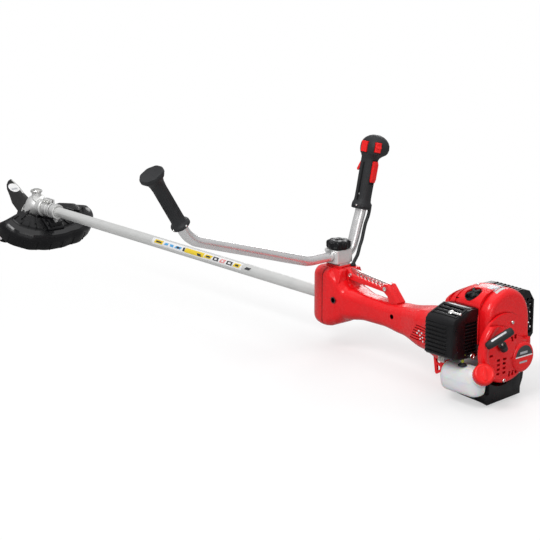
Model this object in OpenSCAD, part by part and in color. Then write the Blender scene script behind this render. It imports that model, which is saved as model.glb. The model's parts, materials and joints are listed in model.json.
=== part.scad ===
// Petrol brush cutter with a three-tooth knife.
// Drive frame used by every module: X runs rearward along the drive shaft axis and is zero at the
// front face of the crankcase, Y is the operator's right, Z is up and is zero on the shaft axis.

/* [Stance] */

// height of the drive shaft axis above the flat foot of the engine
axis_z = 115; // [112:1:130]
// distance from the crankcase front face back to the middle of the foot
foot_x = 62; // [60:1:64]

/* [Shaft] */

// outside diameter of the aluminium main tube
tube_d = 28; // [26:1:28]
// wall thickness of the main tube
tube_wall = 1.6; // [1.2:0.2:2]
// diameter of the solid drive shaft inside the tube
shaft_d = 8; // [7:1:8]
// number of bushes that carry the drive shaft
bush_count = 4; // [2:1:6]
// distance from the crankcase front face forward to the gear case centre
reach = 1650; // [1500:10:1650]

/* [Cutting head] */

// angle between the knife plane and the main tube
head_tilt = 35; // [33:1:36]
// radius of the circle swept by the tooth tips
knife_r = 152; // [140:1:155]
// thickness of the knife
knife_t = 3; // [2:0.5:4]
// radius at the deepest point between two teeth
knife_valley_r = 43; // [40:1:50]
// diameter of the output shaft
output_d = 12; // [10:1:12]
// outer radius of the debris guard
guard_r = 160; // [157:1:165]
// wall thickness of the debris guard
guard_wall = 3; // [2.5:0.5:4]

/* [Handlebar] */

// outside diameter of the handlebar tubes
bar_d = 25; // [22:1:25]
// height of the clamped handlebar ends above the shaft axis
bar_z = 103; // [102:1:106]
// diameter of the clamp knob
knob_d = 56; // [50:1:58]
// number of lobes on the clamp knob
knob_lobes = 8; // [6:1:10]

/* [Shaft housing] */

// wall thickness of the moulded housing shells
shell_wall = 3; // [2.5:0.5:3.5]
// number of harness holes in the hanger plate
hanger_holes = 8; // [5:1:8]
// diameter of a harness hole
hanger_hole_d = 9; // [7:0.5:9]

/* [Engine] */

// cylinder bore diameter
bore_d = 43; // [40:1:43]
// piston stroke
stroke = 33; // [30:1:34]
// number of cooling fins on the cylinder
fin_count = 9; // [6:1:10]
// number of blades on the flywheel fan
fan_blades = 16; // [10:1:20]
// number of ribs on the air cleaner cover
cleaner_ribs = 8; // [5:1:10]
// radius of the recoil starter housing
starter_r = 74; // [70:1:76]

/* [Hidden] */

$fn = 64;

gap = 0.05;
joint_swell = 0.15;
tube_r = tube_d / 2;
tube_in_r = tube_r - tube_wall;
tube_front_x = -reach + 38.1;
tube_rear_x = -112;
shaft_r = shaft_d / 2;
bush_len = 30;

gear_x = -reach;
gear_teeth = 19;
pinion_teeth = 14;
pinion_pitch_r = 13;
shaft_angle = 90 + head_tilt;
pinion_cone = atan(sin(shaft_angle) / (gear_teeth / pinion_teeth + cos(shaft_angle)));
gear_cone = shaft_angle - pinion_cone;
cone_len = pinion_pitch_r / sin(pinion_cone);
tooth_len = 6;
tooth_pitch = 2 * PI * pinion_pitch_r / pinion_teeth * (1 - tooth_len / cone_len);
case_r = 31;
cavity_r = 26;
case_bolt_z = 24;
output_r = output_d / 2;
knife_z = -48;
knife_bore_r = 12.7;
knife_lead = 178;
holder_r = 28;
guard_rim_z = -34;
guard_from = -84;
guard_sweep = 159;

bar_x = -397;
bar_r = bar_d / 2;
bar_wall = 2;
clamp_x = 46;
clamp_y = 50;
clamp_split_z = bar_z;
base_top_z = bar_z - bar_r - 4.5;
clamp_top_z = bar_z + bar_r + 2;
stud_r = 4;
left_path = [[-11, bar_z], [-93, bar_z], [-118, 110], [-400, 196], [-431, 211], [-452, 236],
    [-524, 350]];
right_path = [[11, bar_z], [33, bar_z], [43, 118], [61.5, 178], [67.5, 193.5], [88, 282]];
cable_path = [[bar_x + 14, 85.3, 208.5], [bar_x + 14, 80.3, 187], [bar_x + 15, 70.5, 169],
    [bar_x + 16, 64, 152], [bar_x + 17.5, 57, 132], [bar_x + 19, 49, 118]];
loop_path = [[bar_x + 20, 47, 114.5], [bar_x + 26, 36, 98], [bar_x + 28, 21, 86],
    [bar_x + 28, 20, 68]];
left_lean = 32.3;
right_lean = 13;
trigger_pivot = [-12, 124];
lockout_pivot = [20.8, 109];
pivot_r = 1.5;
switch_turn = -24;

block_front_x = -399;
block_rear_x = -345;
block_half_y = 47;
block_low_z = -62;
// station x, top z, bottom z, half width of the shaft housing
housing = [[-399, 68, -62, 47], [-372, 68, -58, 47], [-340, 36, -36, 40], [-290, 33, -29, 28],
    [-225, 30, -30, 26], [-165, 31, -42, 31], [-90, 46, -57, 46], [-14, 64, -66, 62]];
housing_steps = 3;
plate_t = 4;
plate_front_x = -350;
plate_rear_x = -222;
plate_front_z = 80;
plate_rear_z = 68;
plate_drop = 9.5;
plate_len = norm([plate_rear_x - plate_front_x, plate_front_z - plate_rear_z]);
hang_slope = atan((plate_front_z - plate_rear_z) / (plate_rear_x - plate_front_x));
plate_hole_x = -327;
plate_hole_pitch = 11.8;
// [x, z] of the screws through the loop handle, [x, seat y, z] of the screws in the side pockets
loop_screws = [[-343, 66], [-228, 58]];
pocket_screws = [[-363, -30, 9], [-189, -24, 5]];

crank_x = 48;
case_front_x = 14;
case_rear_x = 82;
crank_r = stroke / 2;
rod_len = 46;
pin_z = crank_r + rod_len;
bore_r = bore_d / 2;
barrel_top_z = 92;
fan_r = 42;
fan_front_x = 85;
fan_rear_x = 112;
fan_wall = 2.5;
cover_r = 80;
cover_left_y = -46;
recoil_x = 131;
bulge_at = [0, 46, -26];
bulge_r = 34;
pull_at = [140, -26, 13];
pull_theta = 48.5;
pull_phi = -63.2;
pull_roll = -46.4;
pull_len = 38;
cap_at = [146, -88, -33];
cap_theta = 56.6;
cap_phi = -30.3;
cleaner_x = [-3.5, 83];
choke_at = [56, -96, 79.9];
choke_tilt = atan(20 / 54);
latch_at = [cleaner_x[1] + 0.1, -62, -14];
primer_at = [8.7, -75, -33.5];

// ---------- helpers ----------

module at_drive() {
    translate([-foot_x, 0, axis_z]) children();
}

// output shaft frame: Z up the output axis, X rearward in the knife plane
module at_head() {
    at_drive() translate([gear_x, 0, 0]) rotate([0, head_tilt, 0]) children();
}

module at_pull() {
    at_drive() translate(pull_at) rotate([0, 0, pull_phi]) rotate([0, pull_theta, 0]) children();
}

module at_cap() {
    at_drive() translate(cap_at) rotate([0, 0, cap_phi]) rotate([0, cap_theta, 0]) children();
}

module along_x(x0, x1, r) {
    translate([x0, 0, 0]) rotate([0, 90, 0]) cylinder(h = x1 - x0, r = r);
}

module ring_x(x0, x1, r_out, r_in) {
    difference() {
        along_x(x0, x1, r_out);
        along_x(x0 - 1, x1 + 1, r_in);
    }
}

module ring_z(z0, z1, r_out, r_in) {
    translate([0, 0, z0]) difference() {
        cylinder(h = z1 - z0, r = r_out);
        translate([0, 0, -1]) cylinder(h = z1 - z0 + 2, r = r_in);
    }
}

module box(lo, hi) {
    translate(lo) cube(hi - lo);
}

// round bar through a list of points, with slightly proud ball joints at the bends
module rod(path, r) {
    for (i = [0:len(path) - 2]) {
        d = path[i + 1] - path[i];
        translate(path[i]) {
            rotate([0, acos(d[2] / norm(d)), atan2(d[1], d[0])]) cylinder(h = norm(d), r = r);
            if (i > 0) sphere(r = r + joint_swell);
        }
    }
}

// [y, z] points moved into the handlebar plane
function in_bar_plane(path) = [for (p = path) [bar_x, p[0], p[1]]];

module round_box(size, r) {
    for (dx = [-1, 1]) for (dy = [-1, 1])
        translate([dx * (size[0] / 2 - r), dy * (size[1] / 2 - r), 0]) cylinder(h = size[2], r = r);
    translate([-size[0] / 2 + r, -size[1] / 2, 0]) cube([size[0] - 2 * r, size[1], size[2]]);
    translate([-size[0] / 2, -size[1] / 2 + r, 0]) cube([size[0], size[1] - 2 * r, size[2]]);
}

// cap screw: head on +Z, shank down to -shank_len
module screw(head_r, head_h, shank_r, shank_len) {
    difference() {
        cylinder(h = head_h, r = head_r);
        translate([0, 0, head_h - 1.5]) cylinder(h = 2, r = head_r * 0.45, $fn = 6);
    }
    translate([0, 0, -shank_len]) cylinder(h = shank_len + 0.5, r = shank_r);
}

// ---------- shaft and cutting head ----------

module main_tube() {
    color("Silver") at_drive() ring_x(tube_front_x, tube_rear_x, tube_r, tube_in_r);
}

module drive_shaft() {
    color("DimGray") at_drive() along_x(gear_x + 16, -66, shaft_r);
}

module tube_bushes() {
    span = (tube_rear_x - tube_front_x) / bush_count;
    at_drive() for (i = [0:bush_count - 1]) {
        x0 = tube_front_x + span * (i + 0.5);
        ring_x(x0, x0 + bush_len, tube_in_r - gap, shaft_r + gap);
    }
}

// trapezoid tooth standing on the pitch cone, long side along X
module tooth() {
    rotate([90, 0, 90]) linear_extrude(height = tooth_len)
        polygon([[-0.2 * tooth_pitch, -0.5 * tooth_pitch], [0.2 * tooth_pitch, -0.5 * tooth_pitch],
            [0.1 * tooth_pitch, 0.22 * tooth_pitch], [-0.1 * tooth_pitch, 0.22 * tooth_pitch]]);
}

// bevel gear with its apex at the origin and its body on +Z
module bevel(teeth, cone, phase, bore_r, back) {
    inner = cone_len - tooth_len;
    root = 0.3 * tooth_pitch;
    z0 = inner * cos(cone) + root * sin(cone);
    z1 = cone_len * cos(cone) + root * sin(cone);
    difference() {
        union() {
            translate([0, 0, z0]) cylinder(h = z1 - z0, r1 = inner * sin(cone) - root * cos(cone),
                r2 = cone_len * sin(cone) - root * cos(cone));
            translate([0, 0, z1 - 0.01])
                cylinder(h = back, r = cone_len * sin(cone) - root * cos(cone));
            for (i = [0:teeth - 1]) rotate([0, 0, (i + phase) * 360 / teeth])
                rotate([0, cone - 90, 0]) translate([inner, 0, 0]) mirror([0, 0, 1]) tooth();
        }
        translate([0, 0, -1]) cylinder(h = 60, r = bore_r);
    }
}

module pinion() {
    color("SlateGray") at_drive() translate([gear_x, 0, 0]) rotate([0, 90, 0]) {
        bevel(pinion_teeth, pinion_cone, 0.5, shaft_r + gap, 3);
        ring_z(16, 34, 7.5, shaft_r + gap);
    }
}

module bevel_gear() {
    color("SlateGray") at_head() {
        mirror([0, 0, 1]) bevel(gear_teeth, gear_cone, 0, output_r + gap, 5);
        ring_z(-25.8, -9, 8.5, output_r + gap);
    }
}

module bearings() {
    color("LightSteelBlue") {
        at_head() ring_z(-34, -26, 14, output_r + gap);
        at_drive() ring_x(gear_x + 22.5, gear_x + 32, 14, 7.5 + gap);
        at_drive() ring_x(-80, -66.2, 16, 7.5 + gap);
        for (x = [case_front_x + 0.1, case_rear_x - 7.9])
            at_drive() ring_x(x, x + 7.8, 16, 7.5 + gap);
        tube_bushes();
    }
}

module output_shaft() {
    color("DimGray") at_head() {
        translate([0, 0, knife_z - 14]) cylinder(h = 18 - knife_z, r = output_r);
    }
}

module gear_case() {
    color("Silver") difference() {
        union() {
            at_drive() translate([gear_x, 0, 0]) sphere(r = case_r);
            at_head() translate([0, 0, -34]) cylinder(h = 34, r = case_r);
            at_head() translate([0, 0, 4]) cylinder(h = 25, r = 19);
            at_drive() along_x(gear_x, gear_x + 40, 22);
            at_drive() along_x(gear_x + 30, gear_x + 84, 19);
            at_drive() box([gear_x + 46, -7, 10], [gear_x + 82, 7, 30]);
            at_drive() translate([gear_x + 2, 0, 20]) cylinder(h = 19, r = 13);
        }
        at_drive() translate([gear_x, 0, 0]) sphere(r = cavity_r);
        at_head() translate([0, 0, -26.01]) cylinder(h = 26, r = cavity_r - 4);
        at_head() translate([0, 0, -35]) cylinder(h = 9.1, r = 14 + gap);
        at_drive() along_x(gear_x, gear_x + 32.1, 14 + gap);
        at_drive() along_x(gear_x + 32, gear_x + 39, 9);
        at_drive() along_x(gear_x + 38, gear_x + 90, tube_r + gap);
        at_drive() box([gear_x + 46, -1.5, 10], [gear_x + 90, 1.5, 40]);
        for (x = [56, 73]) at_drive() translate([gear_x + x, 10, case_bolt_z]) rotate([90, 0, 0])
            cylinder(h = 30, r = 3 + gap);
        at_drive() translate([gear_x + 2, 0, 10]) cylinder(h = 40, r = 5 + gap);
    }
}

module gear_case_bolts() {
    at_drive() for (x = [56, 73]) translate([gear_x + x, -7.1, case_bolt_z])
        rotate([90, 0, 0]) screw(5, 5, 3, 13.8);
}

module grease_plug() {
    at_drive() translate([gear_x + 2, 0, 39.1]) {
        cylinder(h = 6, r = 15);
        translate([0, 0, 5.9]) cylinder(h = 3, r = 10, $fn = 6);
        translate([0, 0, -11]) cylinder(h = 11.2, r = 5);
    }
}

module knife_holder() {
    at_head() difference() {
        union() {
            translate([0, 0, knife_z + knife_t / 2 + gap]) cylinder(h = 4, r = holder_r);
            translate([0, 0, knife_z + knife_t / 2 + 4]) cylinder(h = 7, r = 13);
            translate([0, 0, knife_z - 0.4]) cylinder(h = 4, r = knife_bore_r - gap);
        }
        translate([0, 0, knife_z - 10]) cylinder(h = 40, r = output_r + gap);
    }
}

// one tooth outline, symmetric about +X, from the hub out to the tip
module tooth_outline() {
    polygon([[0, -knife_valley_r * 0.8], [knife_r * 0.42, -30], [knife_r * 0.62, -21],
        [knife_r * 0.8, -18], [knife_r * 0.93, -12], [knife_r, -3], [knife_r, 3],
        [knife_r * 0.95, 15], [knife_r * 0.86, 21], [knife_r * 0.62, 24], [knife_r * 0.42, 31],
        [0, knife_valley_r * 0.8]]);
}

module knife() {
    color("Black") at_head() translate([0, 0, knife_z - knife_t / 2])
        linear_extrude(height = knife_t) difference() {
            union() {
                circle(r = knife_valley_r);
                for (i = [0:2]) rotate(knife_lead + 120 * i) tooth_outline();
            }
            circle(r = knife_bore_r);
        }
}

module knife_cup() {
    at_head() translate([0, 0, knife_z - knife_t / 2 - 5 - gap]) difference() {
        union() {
            cylinder(h = 5, r1 = 22, r2 = 26);
            translate([0, 0, -3]) cylinder(h = 3.1, r = 20);
        }
        translate([0, 0, -5]) cylinder(h = 20, r = output_r + gap);
        translate([0, 0, -3.1]) cylinder(h = 3.6, r = 15);
    }
}

module knife_nut() {
    at_head() translate([0, 0, knife_z - knife_t / 2 - 13.6]) difference() {
        cylinder(h = 9, r = 10, $fn = 6);
        translate([0, 0, -1]) cylinder(h = 12, r = output_r + gap);
    }
}

// closed radius and height section of the guard, from the rim over the deck to the hub and back
guard_section = [[guard_r, guard_rim_z], [guard_r, 0], [guard_r - 8, 9], [119, 10], [110, 14],
    [66, 14], [43, -8], [case_r + 0.4, -8], [case_r + 0.4, -20], [38, -20], [44, -11.5],
    [68, 14 - guard_wall], [109, 14 - guard_wall], [118, 10 - guard_wall],
    [guard_r - 10, 9 - guard_wall], [guard_r - guard_wall, -2], [guard_r - guard_wall, guard_rim_z]];

module guard() {
    color("Black") at_head() difference() {
        union() {
            rotate([0, 0, guard_from]) rotate_extrude(angle = guard_sweep) polygon(guard_section);
            for (a = [-55, -30, 38, 62]) rotate([0, 0, a]) box([70, -1.5, 13], [108, 1.5, 17]);
        }
        for (y = [-17, 17]) translate([88, y, 0]) cylinder(h = 30, r = 3 + gap);
    }
}

module guard_bracket() {
    color("Silver") difference() {
        union() {
            at_drive() along_x(gear_x + 88, gear_x + 108, 20);
            at_head() box([84, -4, 16], [98, 4, 50]);
            at_head() box([68, -24, 14.1], [106, 24, 17.1]);
        }
        at_drive() along_x(gear_x + 80, gear_x + 130, tube_r + gap);
        for (y = [-17, 17]) at_head() translate([88, y, 0]) cylinder(h = 30, r = 3 + gap);
    }
}

module guard_bolts() {
    at_head() for (y = [-17, 17]) translate([88, y, 17.15]) screw(5.5, 4, 3, 9);
}

// ---------- shaft housing ----------

function mix(a, b, t) = a + (b - a) * t;
function ease(t) = t * t * (3 - 2 * t);
stations = concat([for (i = [0:len(housing) - 2]) for (k = [0:housing_steps - 1])
    let (t = k / housing_steps, a = housing[i], b = housing[i + 1], e = ease(t))
    [mix(a[0], b[0], t), mix(a[1], b[1], e), mix(a[2], b[2], e), mix(a[3], b[3], e)]],
    [housing[len(housing) - 1]]);

// slab between two offset curves of [x, low, high], turned about the shaft axis
module slab(rows, angle) {
    rotate([angle + 90, 0, 0]) translate([0, 0, -130]) linear_extrude(height = 260)
        polygon(concat([for (p = rows) [p[0], p[2]]],
            [for (i = [len(rows) - 1:-1:0]) [rows[i][0], rows[i][1]]]));
}

function diagonal(p, inset) = let (mid = (p[1] + p[2]) / 2, half = ((p[1] - p[2]) / 2 + p[3]) * 0.62)
    [p[0], mid * sqrt(0.5) - half + inset, mid * sqrt(0.5) + half - inset];

module housing_form(inset) {
    corner = [for (p = stations) diagonal(p, inset)];
    intersection() {
        slab([for (p = stations) [p[0], p[2] + inset, p[1] - inset]], 0);
        slab([for (p = stations) [p[0], -p[3] + inset, p[3] - inset]], 90);
        slab(corner, 45);
        slab(corner, -45);
    }
}

// upright block with rounded corners lying along X
module block_x(x0, x1, half_y, z0, z1, r) {
    translate([x0, 0, (z0 + z1) / 2]) rotate([0, 90, 0])
        round_box([z1 - z0, half_y * 2, x1 - x0], r);
}

module column(grow) {
    box([bar_x - clamp_x / 2 - grow, -15 - grow, 0], [bar_x + clamp_x / 2 + grow, 15 + grow, base_top_z]);
}

module front_cap() {
    color("Red") at_drive() difference() {
        intersection() {
            block_x(-452, -401.3, block_half_y, block_low_z, 68, 24);
            translate([-390, 0, -90]) cylinder(h = 180, r = 60);
        }
        intersection() {
            block_x(-452, -401, block_half_y - shell_wall, block_low_z + shell_wall, 68 - shell_wall, 21);
            translate([-390, 0, -90]) cylinder(h = 180, r = 60 - shell_wall);
        }
        along_x(-460, -400, tube_r + 0.6);
        column(0.6);
    }
}

module front_seal() {
    color("Black") at_drive() difference() {
        block_x(-401.1, -399.2, block_half_y - 1.5, block_low_z + 1.5, 66.5, 22);
        block_x(-402, -399, block_half_y - 6, block_low_z + 6, 62, 18);
        column(0.6);
    }
}

module at_hanger() {
    translate([plate_front_x, 0, plate_front_z]) rotate([0, hang_slope, 0]) children();
}

// side outline of the loop handle, extruded across
module loop_form(half_y) {
    rotate([90, 0, 0]) translate([0, 0, -half_y]) linear_extrude(height = 2 * half_y) difference() {
        polygon([[-366, 40], [-366, 79], [-352, 79], [-340, 66], [-240, 56.5], [-231, 67.5],
            [-222, 66], [-183, 32], [-183, 12], [-366, 12]]);
        polygon([[-348, 50], [-345, 36], [-300, 29], [-262, 27], [-226, 27], [-222, 31], [-236, 46]]);
    }
}

module shell_pair() {
    difference() {
        union() {
            intersection() {
                housing_form(0);
                block_x(-399, -10, 70, block_low_z, 68, 24);
            }
            loop_form(13);
            translate([bar_x + 9, 0, 66]) round_box([76, 62, 13], 10);
        }
        difference() {
            intersection() {
                housing_form(shell_wall);
                block_x(-420, -5, 70, block_low_z + shell_wall, 68 - shell_wall, 21);
            }
            for (x = [-300, -236, -150]) box([x, -60, -60], [x + 3, 60, 60]);
            for (p = pocket_screws) translate([p[0], -10, p[2]]) rotate([90, 0, 0])
                cylinder(h = 46, r = 6.5);
        }
        intersection() {
            loop_form(13 - shell_wall);
            box([-400, -20, -20], [-100, 20, 26]);
        }
        along_x(-470, -100, tube_r + gap);
        along_x(-130, -57, 22.4);
        along_x(-58.5, 0, 48.4);
        column(0.5);
        translate([bar_x - 30, -60, 40]) cube([28, 120, 28.4]);
        at_hanger() box([-3, -plate_t / 2 - gap, -24], [plate_len + 3, plate_t / 2 + gap, 5]);
        for (p = loop_screws) translate([p[0], 30, p[1]]) rotate([90, 0, 0])
            cylinder(h = 60, r = 2.5 + gap);
        for (p = pocket_screws) translate([p[0], p[1] + 9, p[2]]) rotate([90, 0, 0]) {
            cylinder(h = 60, r = 2 + gap);
            translate([0, 0, 9]) cylinder(h = 60, r = 5);
        }
        for (i = [0:4]) for (side = [-1, 1])
            box([-62 + 8 * i, side * 60 - 18, -36], [-58 + 8 * i, side * 60 + 18, -6]);
        box([-350, -60, -46], [-332, 60, -42]);
        translate([bar_x + 28, 20, 60]) cylinder(h = 30, r = 5.5);
    }
}

module shell_left() {
    color("Red") at_drive() intersection() {
        shell_pair();
        box([-480, -100, -120], [0, -gap, 120]);
    }
}

module shell_right() {
    color("Red") at_drive() intersection() {
        shell_pair();
        box([-480, gap, -120], [0, 100, 120]);
    }
}

module shell_screws() {
    at_drive() {
        for (p = loop_screws) translate([p[0], -13.05, p[1]]) rotate([90, 0, 0])
            screw(5, 3, 2.5, 25);
        for (p = pocket_screws) translate([p[0], p[1] - 0.1, p[2]]) rotate([90, 0, 0])
            screw(4.5, 3.5, 2, 9);
    }
}

module hanger_plate() {
    color("Silver") at_drive() at_hanger() difference() {
        box([0, -plate_t / 2, -22], [plate_len, plate_t / 2, 0]);
        for (i = [0:hanger_holes - 1]) translate([plate_hole_x - plate_front_x + plate_hole_pitch * i,
            20, -plate_drop + 1]) rotate([90, 0, 0]) cylinder(h = 40, d = hanger_hole_d);
        rotate([0, -hang_slope, 0]) translate([-plate_front_x, 0, -plate_front_z])
            for (p = loop_screws) translate([p[0], 30, p[1]]) rotate([90, 0, 0])
                cylinder(h = 60, r = 2.5 + gap);
    }
}

// ---------- handlebar clamp ----------

module clamp_base() {
    color("Silver") at_drive() difference() {
        union() {
            along_x(bar_x - clamp_x / 2, bar_x + clamp_x / 2, 24);
            column(0);
        }
        along_x(bar_x - 60, bar_x + 60, tube_r + gap);
        translate([bar_x, 0, 40]) cylinder(h = 80, r = stud_r + gap);
    }
}

module clamp_half(z0, z1) {
    difference() {
        translate([bar_x, 0, z0]) round_box([clamp_x, clamp_y, z1 - z0], 6);
        translate([bar_x, 60, bar_z]) rotate([90, 0, 0]) cylinder(h = 120, r = bar_r + gap);
        translate([bar_x, 0, z0 - 1]) cylinder(h = 60, r = stud_r + 0.1);
    }
}

module clamp_halves() {
    color("Silver") at_drive() {
        clamp_half(base_top_z + 0.2, clamp_split_z - 0.3);
        clamp_half(clamp_split_z + 0.3, clamp_top_z);
    }
}

module clamp_stud() {
    at_drive() translate([bar_x, 0, 42]) cylinder(h = clamp_top_z - 42 + 14, r = stud_r);
}

module knob() {
    lobe_r = knob_d * 0.15;
    color("Black") at_drive() translate([bar_x, 0, clamp_top_z + 0.3]) difference() {
        union() {
            cylinder(h = 5, r = 16);
            translate([0, 0, 4]) cylinder(h = 15, r = knob_d / 2 - 4);
            for (i = [0:knob_lobes - 1]) rotate([0, 0, i * 360 / knob_lobes])
                translate([knob_d / 2 - lobe_r, 0, 4]) cylinder(h = 14, r = lobe_r);
        }
        translate([0, 0, -1]) cylinder(h = 16, r = stud_r + gap);
        translate([0, 0, 17]) cylinder(h = 4, r = 7);
    }
}

// ---------- handlebar and controls ----------

module at_left_grip() {
    at_drive() translate([bar_x, -455, 241]) rotate([left_lean, 0, 0]) children();
}

module at_control() {
    at_drive() translate([bar_x, 69, 200]) rotate([-right_lean, 0, 0]) children();
}

module handlebar() {
    color("Silver") at_drive() difference() {
        union() {
            rod(in_bar_plane(left_path), bar_r);
            rod(in_bar_plane(right_path), bar_r);
        }
        rod(in_bar_plane(left_path), bar_r - bar_wall);
        rod(in_bar_plane(right_path), bar_r - bar_wall);
    }
}

module left_grip() {
    color("DimGray") at_left_grip() difference() {
        union() {
            cylinder(h = 130, r = 17);
            cylinder(h = 9, r = 23);
            translate([0, 0, 128]) cylinder(h = 6, r1 = 20, r2 = 31);
            translate([0, 0, 133.9]) cylinder(h = 12, r = 31);
        }
        translate([0, 0, -40]) cylinder(h = 171, r = bar_r + 0.4);
        for (i = [1:11]) translate([0, 0, 9 + i * 9.5]) ring_z(0, 2, 20, 16);
    }
}

// red switch faces are set into the head; the trigger and the palm lever sit in slots of the grip
module control_housing() {
    color("DimGray") at_control() difference() {
        union() {
            round_box([38, 34, 122], 14);
            cylinder(h = 16, r = 22);
            intersection() {
                translate([6, 5, 114]) round_box([62, 56, 58], 22);
                translate([6, 5, 136]) sphere(r = 40);
            }
        }
        translate([0, 0, -20]) cylinder(h = 105, r = bar_r + 0.4);
        box([-15, -9, 83], [15, 9, 150]);
        box([-40, -6.8, 80], [-10, 6.8, 131]);
        box([13.4, -7.8, 58], [40, 7.8, 117]);
        rotate([0, 0, switch_turn]) box([30, -5.3, 127], [60, 9.3, 158]);
        box([-9.3, -40, 131], [9.3, -15, 157]);
        translate([14, 14, -1]) cylinder(h = 30, r = 4.5);
    }
    color("DimGray") at_control() for (p = [trigger_pivot, lockout_pivot])
        translate([p[0], 9, p[1]]) rotate([90, 0, 0]) cylinder(h = 18, r = pivot_r);
}

module throttle_trigger() {
    color("Red") at_control() rotate([90, 0, 0]) translate([0, 0, -6]) linear_extrude(height = 12)
        difference() {
            polygon([[-8, 128], [-15, 130], [-20, 122], [-22, 110], [-31, 90], [-29, 86], [-25, 87],
                [-15, 106], [-8, 118]]);
            translate(trigger_pivot) circle(r = pivot_r + gap);
        }
}

module lockout_lever() {
    color("Red") at_control() rotate([90, 0, 0]) translate([0, 0, -7]) linear_extrude(height = 14)
        difference() {
            polygon([[18, 112], [18, 70], [20, 64], [23, 64], [25, 72], [25, 106], [22, 113]]);
            translate(lockout_pivot) circle(r = pivot_r + gap);
        }
}

module stop_switch() {
    color("Red") at_control() rotate([0, 0, switch_turn]) {
        box([30.5, -5, 134], [37, 9, 157]);
        box([36, -5, 143], [39.5, 9, 148]);
    }
}

module start_button() {
    color("Red") at_control() box([-9, -26, 131.5], [9, -19, 156.5]);
}

module throttle_cable() {
    color("Black") at_drive() rod(cable_path, 4);
}

module cable_loop() {
    color("Black") at_drive() rod(loop_path, 4);
}

// ---------- clutch ----------

module front_frame() {
    color("Red") at_drive() difference() {
        union() {
            along_x(-13.8, -4, 62);
            box([-13.8, -48, -93], [-4, 48, 0]);
        }
        along_x(-20, 10, 48.4);
        box([-20, 48.5, -70], [10, 70, 70]);
        for (s = [-1, 1]) {
            translate([-20, 0, 0]) rotate([90, 0, 90]) linear_extrude(height = 30) {
                polygon([[s * 6, -88], [s * 42, -88], [s * 24, -58]]);
                polygon([[s * 44, -84], [s * 44, -54], [s * 30, -54]]);
            }
        }
    }
}

module clutch_housing() {
    color("DimGray") at_drive() difference() {
        union() {
            along_x(-128, -57, 22);
            along_x(-58, -4.2, 48);
            along_x(-4.3, 13.9, 43.5);
        }
        along_x(-140, tube_rear_x + 0.1, tube_r + gap);
        along_x(tube_rear_x, -54, 9);
        along_x(-80.1, -60, 16 + gap);
        along_x(-55, -12, 44);
        along_x(-13, 20, 20);
    }
}

module clutch_drum() {
    color("SlateGray") at_drive() {
        ring_x(-82, -49, 7.5, shaft_r + gap);
        ring_x(-53, -49, 41, shaft_r + gap);
        ring_x(-53, -20, 41, 38.5);
    }
}

module clutch_hub() {
    color("Silver") at_drive() difference() {
        union() {
            along_x(-46, -22, 13);
            box([-46, -34, -6], [-22, 34, 6]);
        }
        along_x(-50, 0, 6 + gap);
    }
}

module clutch_shoe(side) {
    difference() {
        ring_x(-45, -23, 37.5, 20);
        box([-60, -60, side > 0 ? -60 : -7.5], [0, 60, side > 0 ? 7.5 : 60]);
    }
}

module clutch_shoe_top() {
    color("DarkGray") at_drive() clutch_shoe(1);
}

module clutch_shoe_bottom() {
    color("DarkGray") at_drive() clutch_shoe(-1);
}

// ---------- engine block ----------

module crankcase() {
    color("Gray") at_drive() difference() {
        union() {
            along_x(case_front_x, case_rear_x, 44);
            box([case_front_x, -32, 0], [case_rear_x, 32, 40]);
            box([case_front_x, -30, -47], [case_rear_x, 30, -20]);
            box([case_front_x, -72, -38], [case_front_x + 3.4, -20, -28]);
            box([0, -75, -42.5], [case_front_x + 3.4, -71, -24.6]);
        }
        translate([primer_at[0], -60, primer_at[2]]) rotate([90, 0, 0]) cylinder(h = 20, r = 6.6);
        along_x(case_front_x + 8, case_rear_x - 8, 34);
        along_x(case_front_x - 1, case_rear_x + 1, 16 + gap);
        box([0, -50, 40], [100, 50, 60]);
        translate([crank_x, 0, 0]) cylinder(h = 60, r = 24 + gap);
    }
}

module crankshaft() {
    color("SlateGray") at_drive() {
        along_x(-46, 0, 6);
        along_x(-1, 31, 7.5);
        along_x(31, 40, 28);
        translate([0, 0, crank_r]) along_x(39, 57, 6);
        along_x(56, 65, 28);
        along_x(64, fan_front_x - 0.1, 7.5);
        along_x(fan_front_x - 1, 113, 6);
    }
}

module connecting_rod() {
    color("Gray") at_drive() difference() {
        union() {
            translate([0, 0, crank_r]) along_x(crank_x - 5, crank_x + 5, 10);
            translate([0, 0, pin_z]) along_x(crank_x - 4.5, crank_x + 4.5, 8.5);
            box([crank_x - 3, -5, crank_r], [crank_x + 3, 5, pin_z]);
        }
        translate([0, 0, crank_r]) along_x(crank_x - 20, crank_x + 20, 6 + gap);
        translate([0, 0, pin_z]) along_x(crank_x - 20, crank_x + 20, 5 + gap);
    }
}

// piston with its wrist pin
module piston() {
    color("Silver") at_drive() {
        difference() {
            translate([crank_x, 0, pin_z - 13]) cylinder(h = 25, r = bore_r - gap);
            translate([crank_x, 0, pin_z - 14]) cylinder(h = 23, r = bore_r - 4);
            translate([0, 0, pin_z]) along_x(crank_x - 30, crank_x + 30, 5 + gap);
        }
        translate([0, 0, pin_z]) along_x(crank_x - 20, crank_x + 20, 5);
    }
}

module at_plug() {
    at_drive() translate([crank_x, -2, pin_z + 15]) rotate([30, 0, 0]) children();
}

module port(sign, r) {
    translate([crank_x, 0, 62]) rotate([sign * -90, 0, 0]) cylinder(h = 44, r = r);
}

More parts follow.
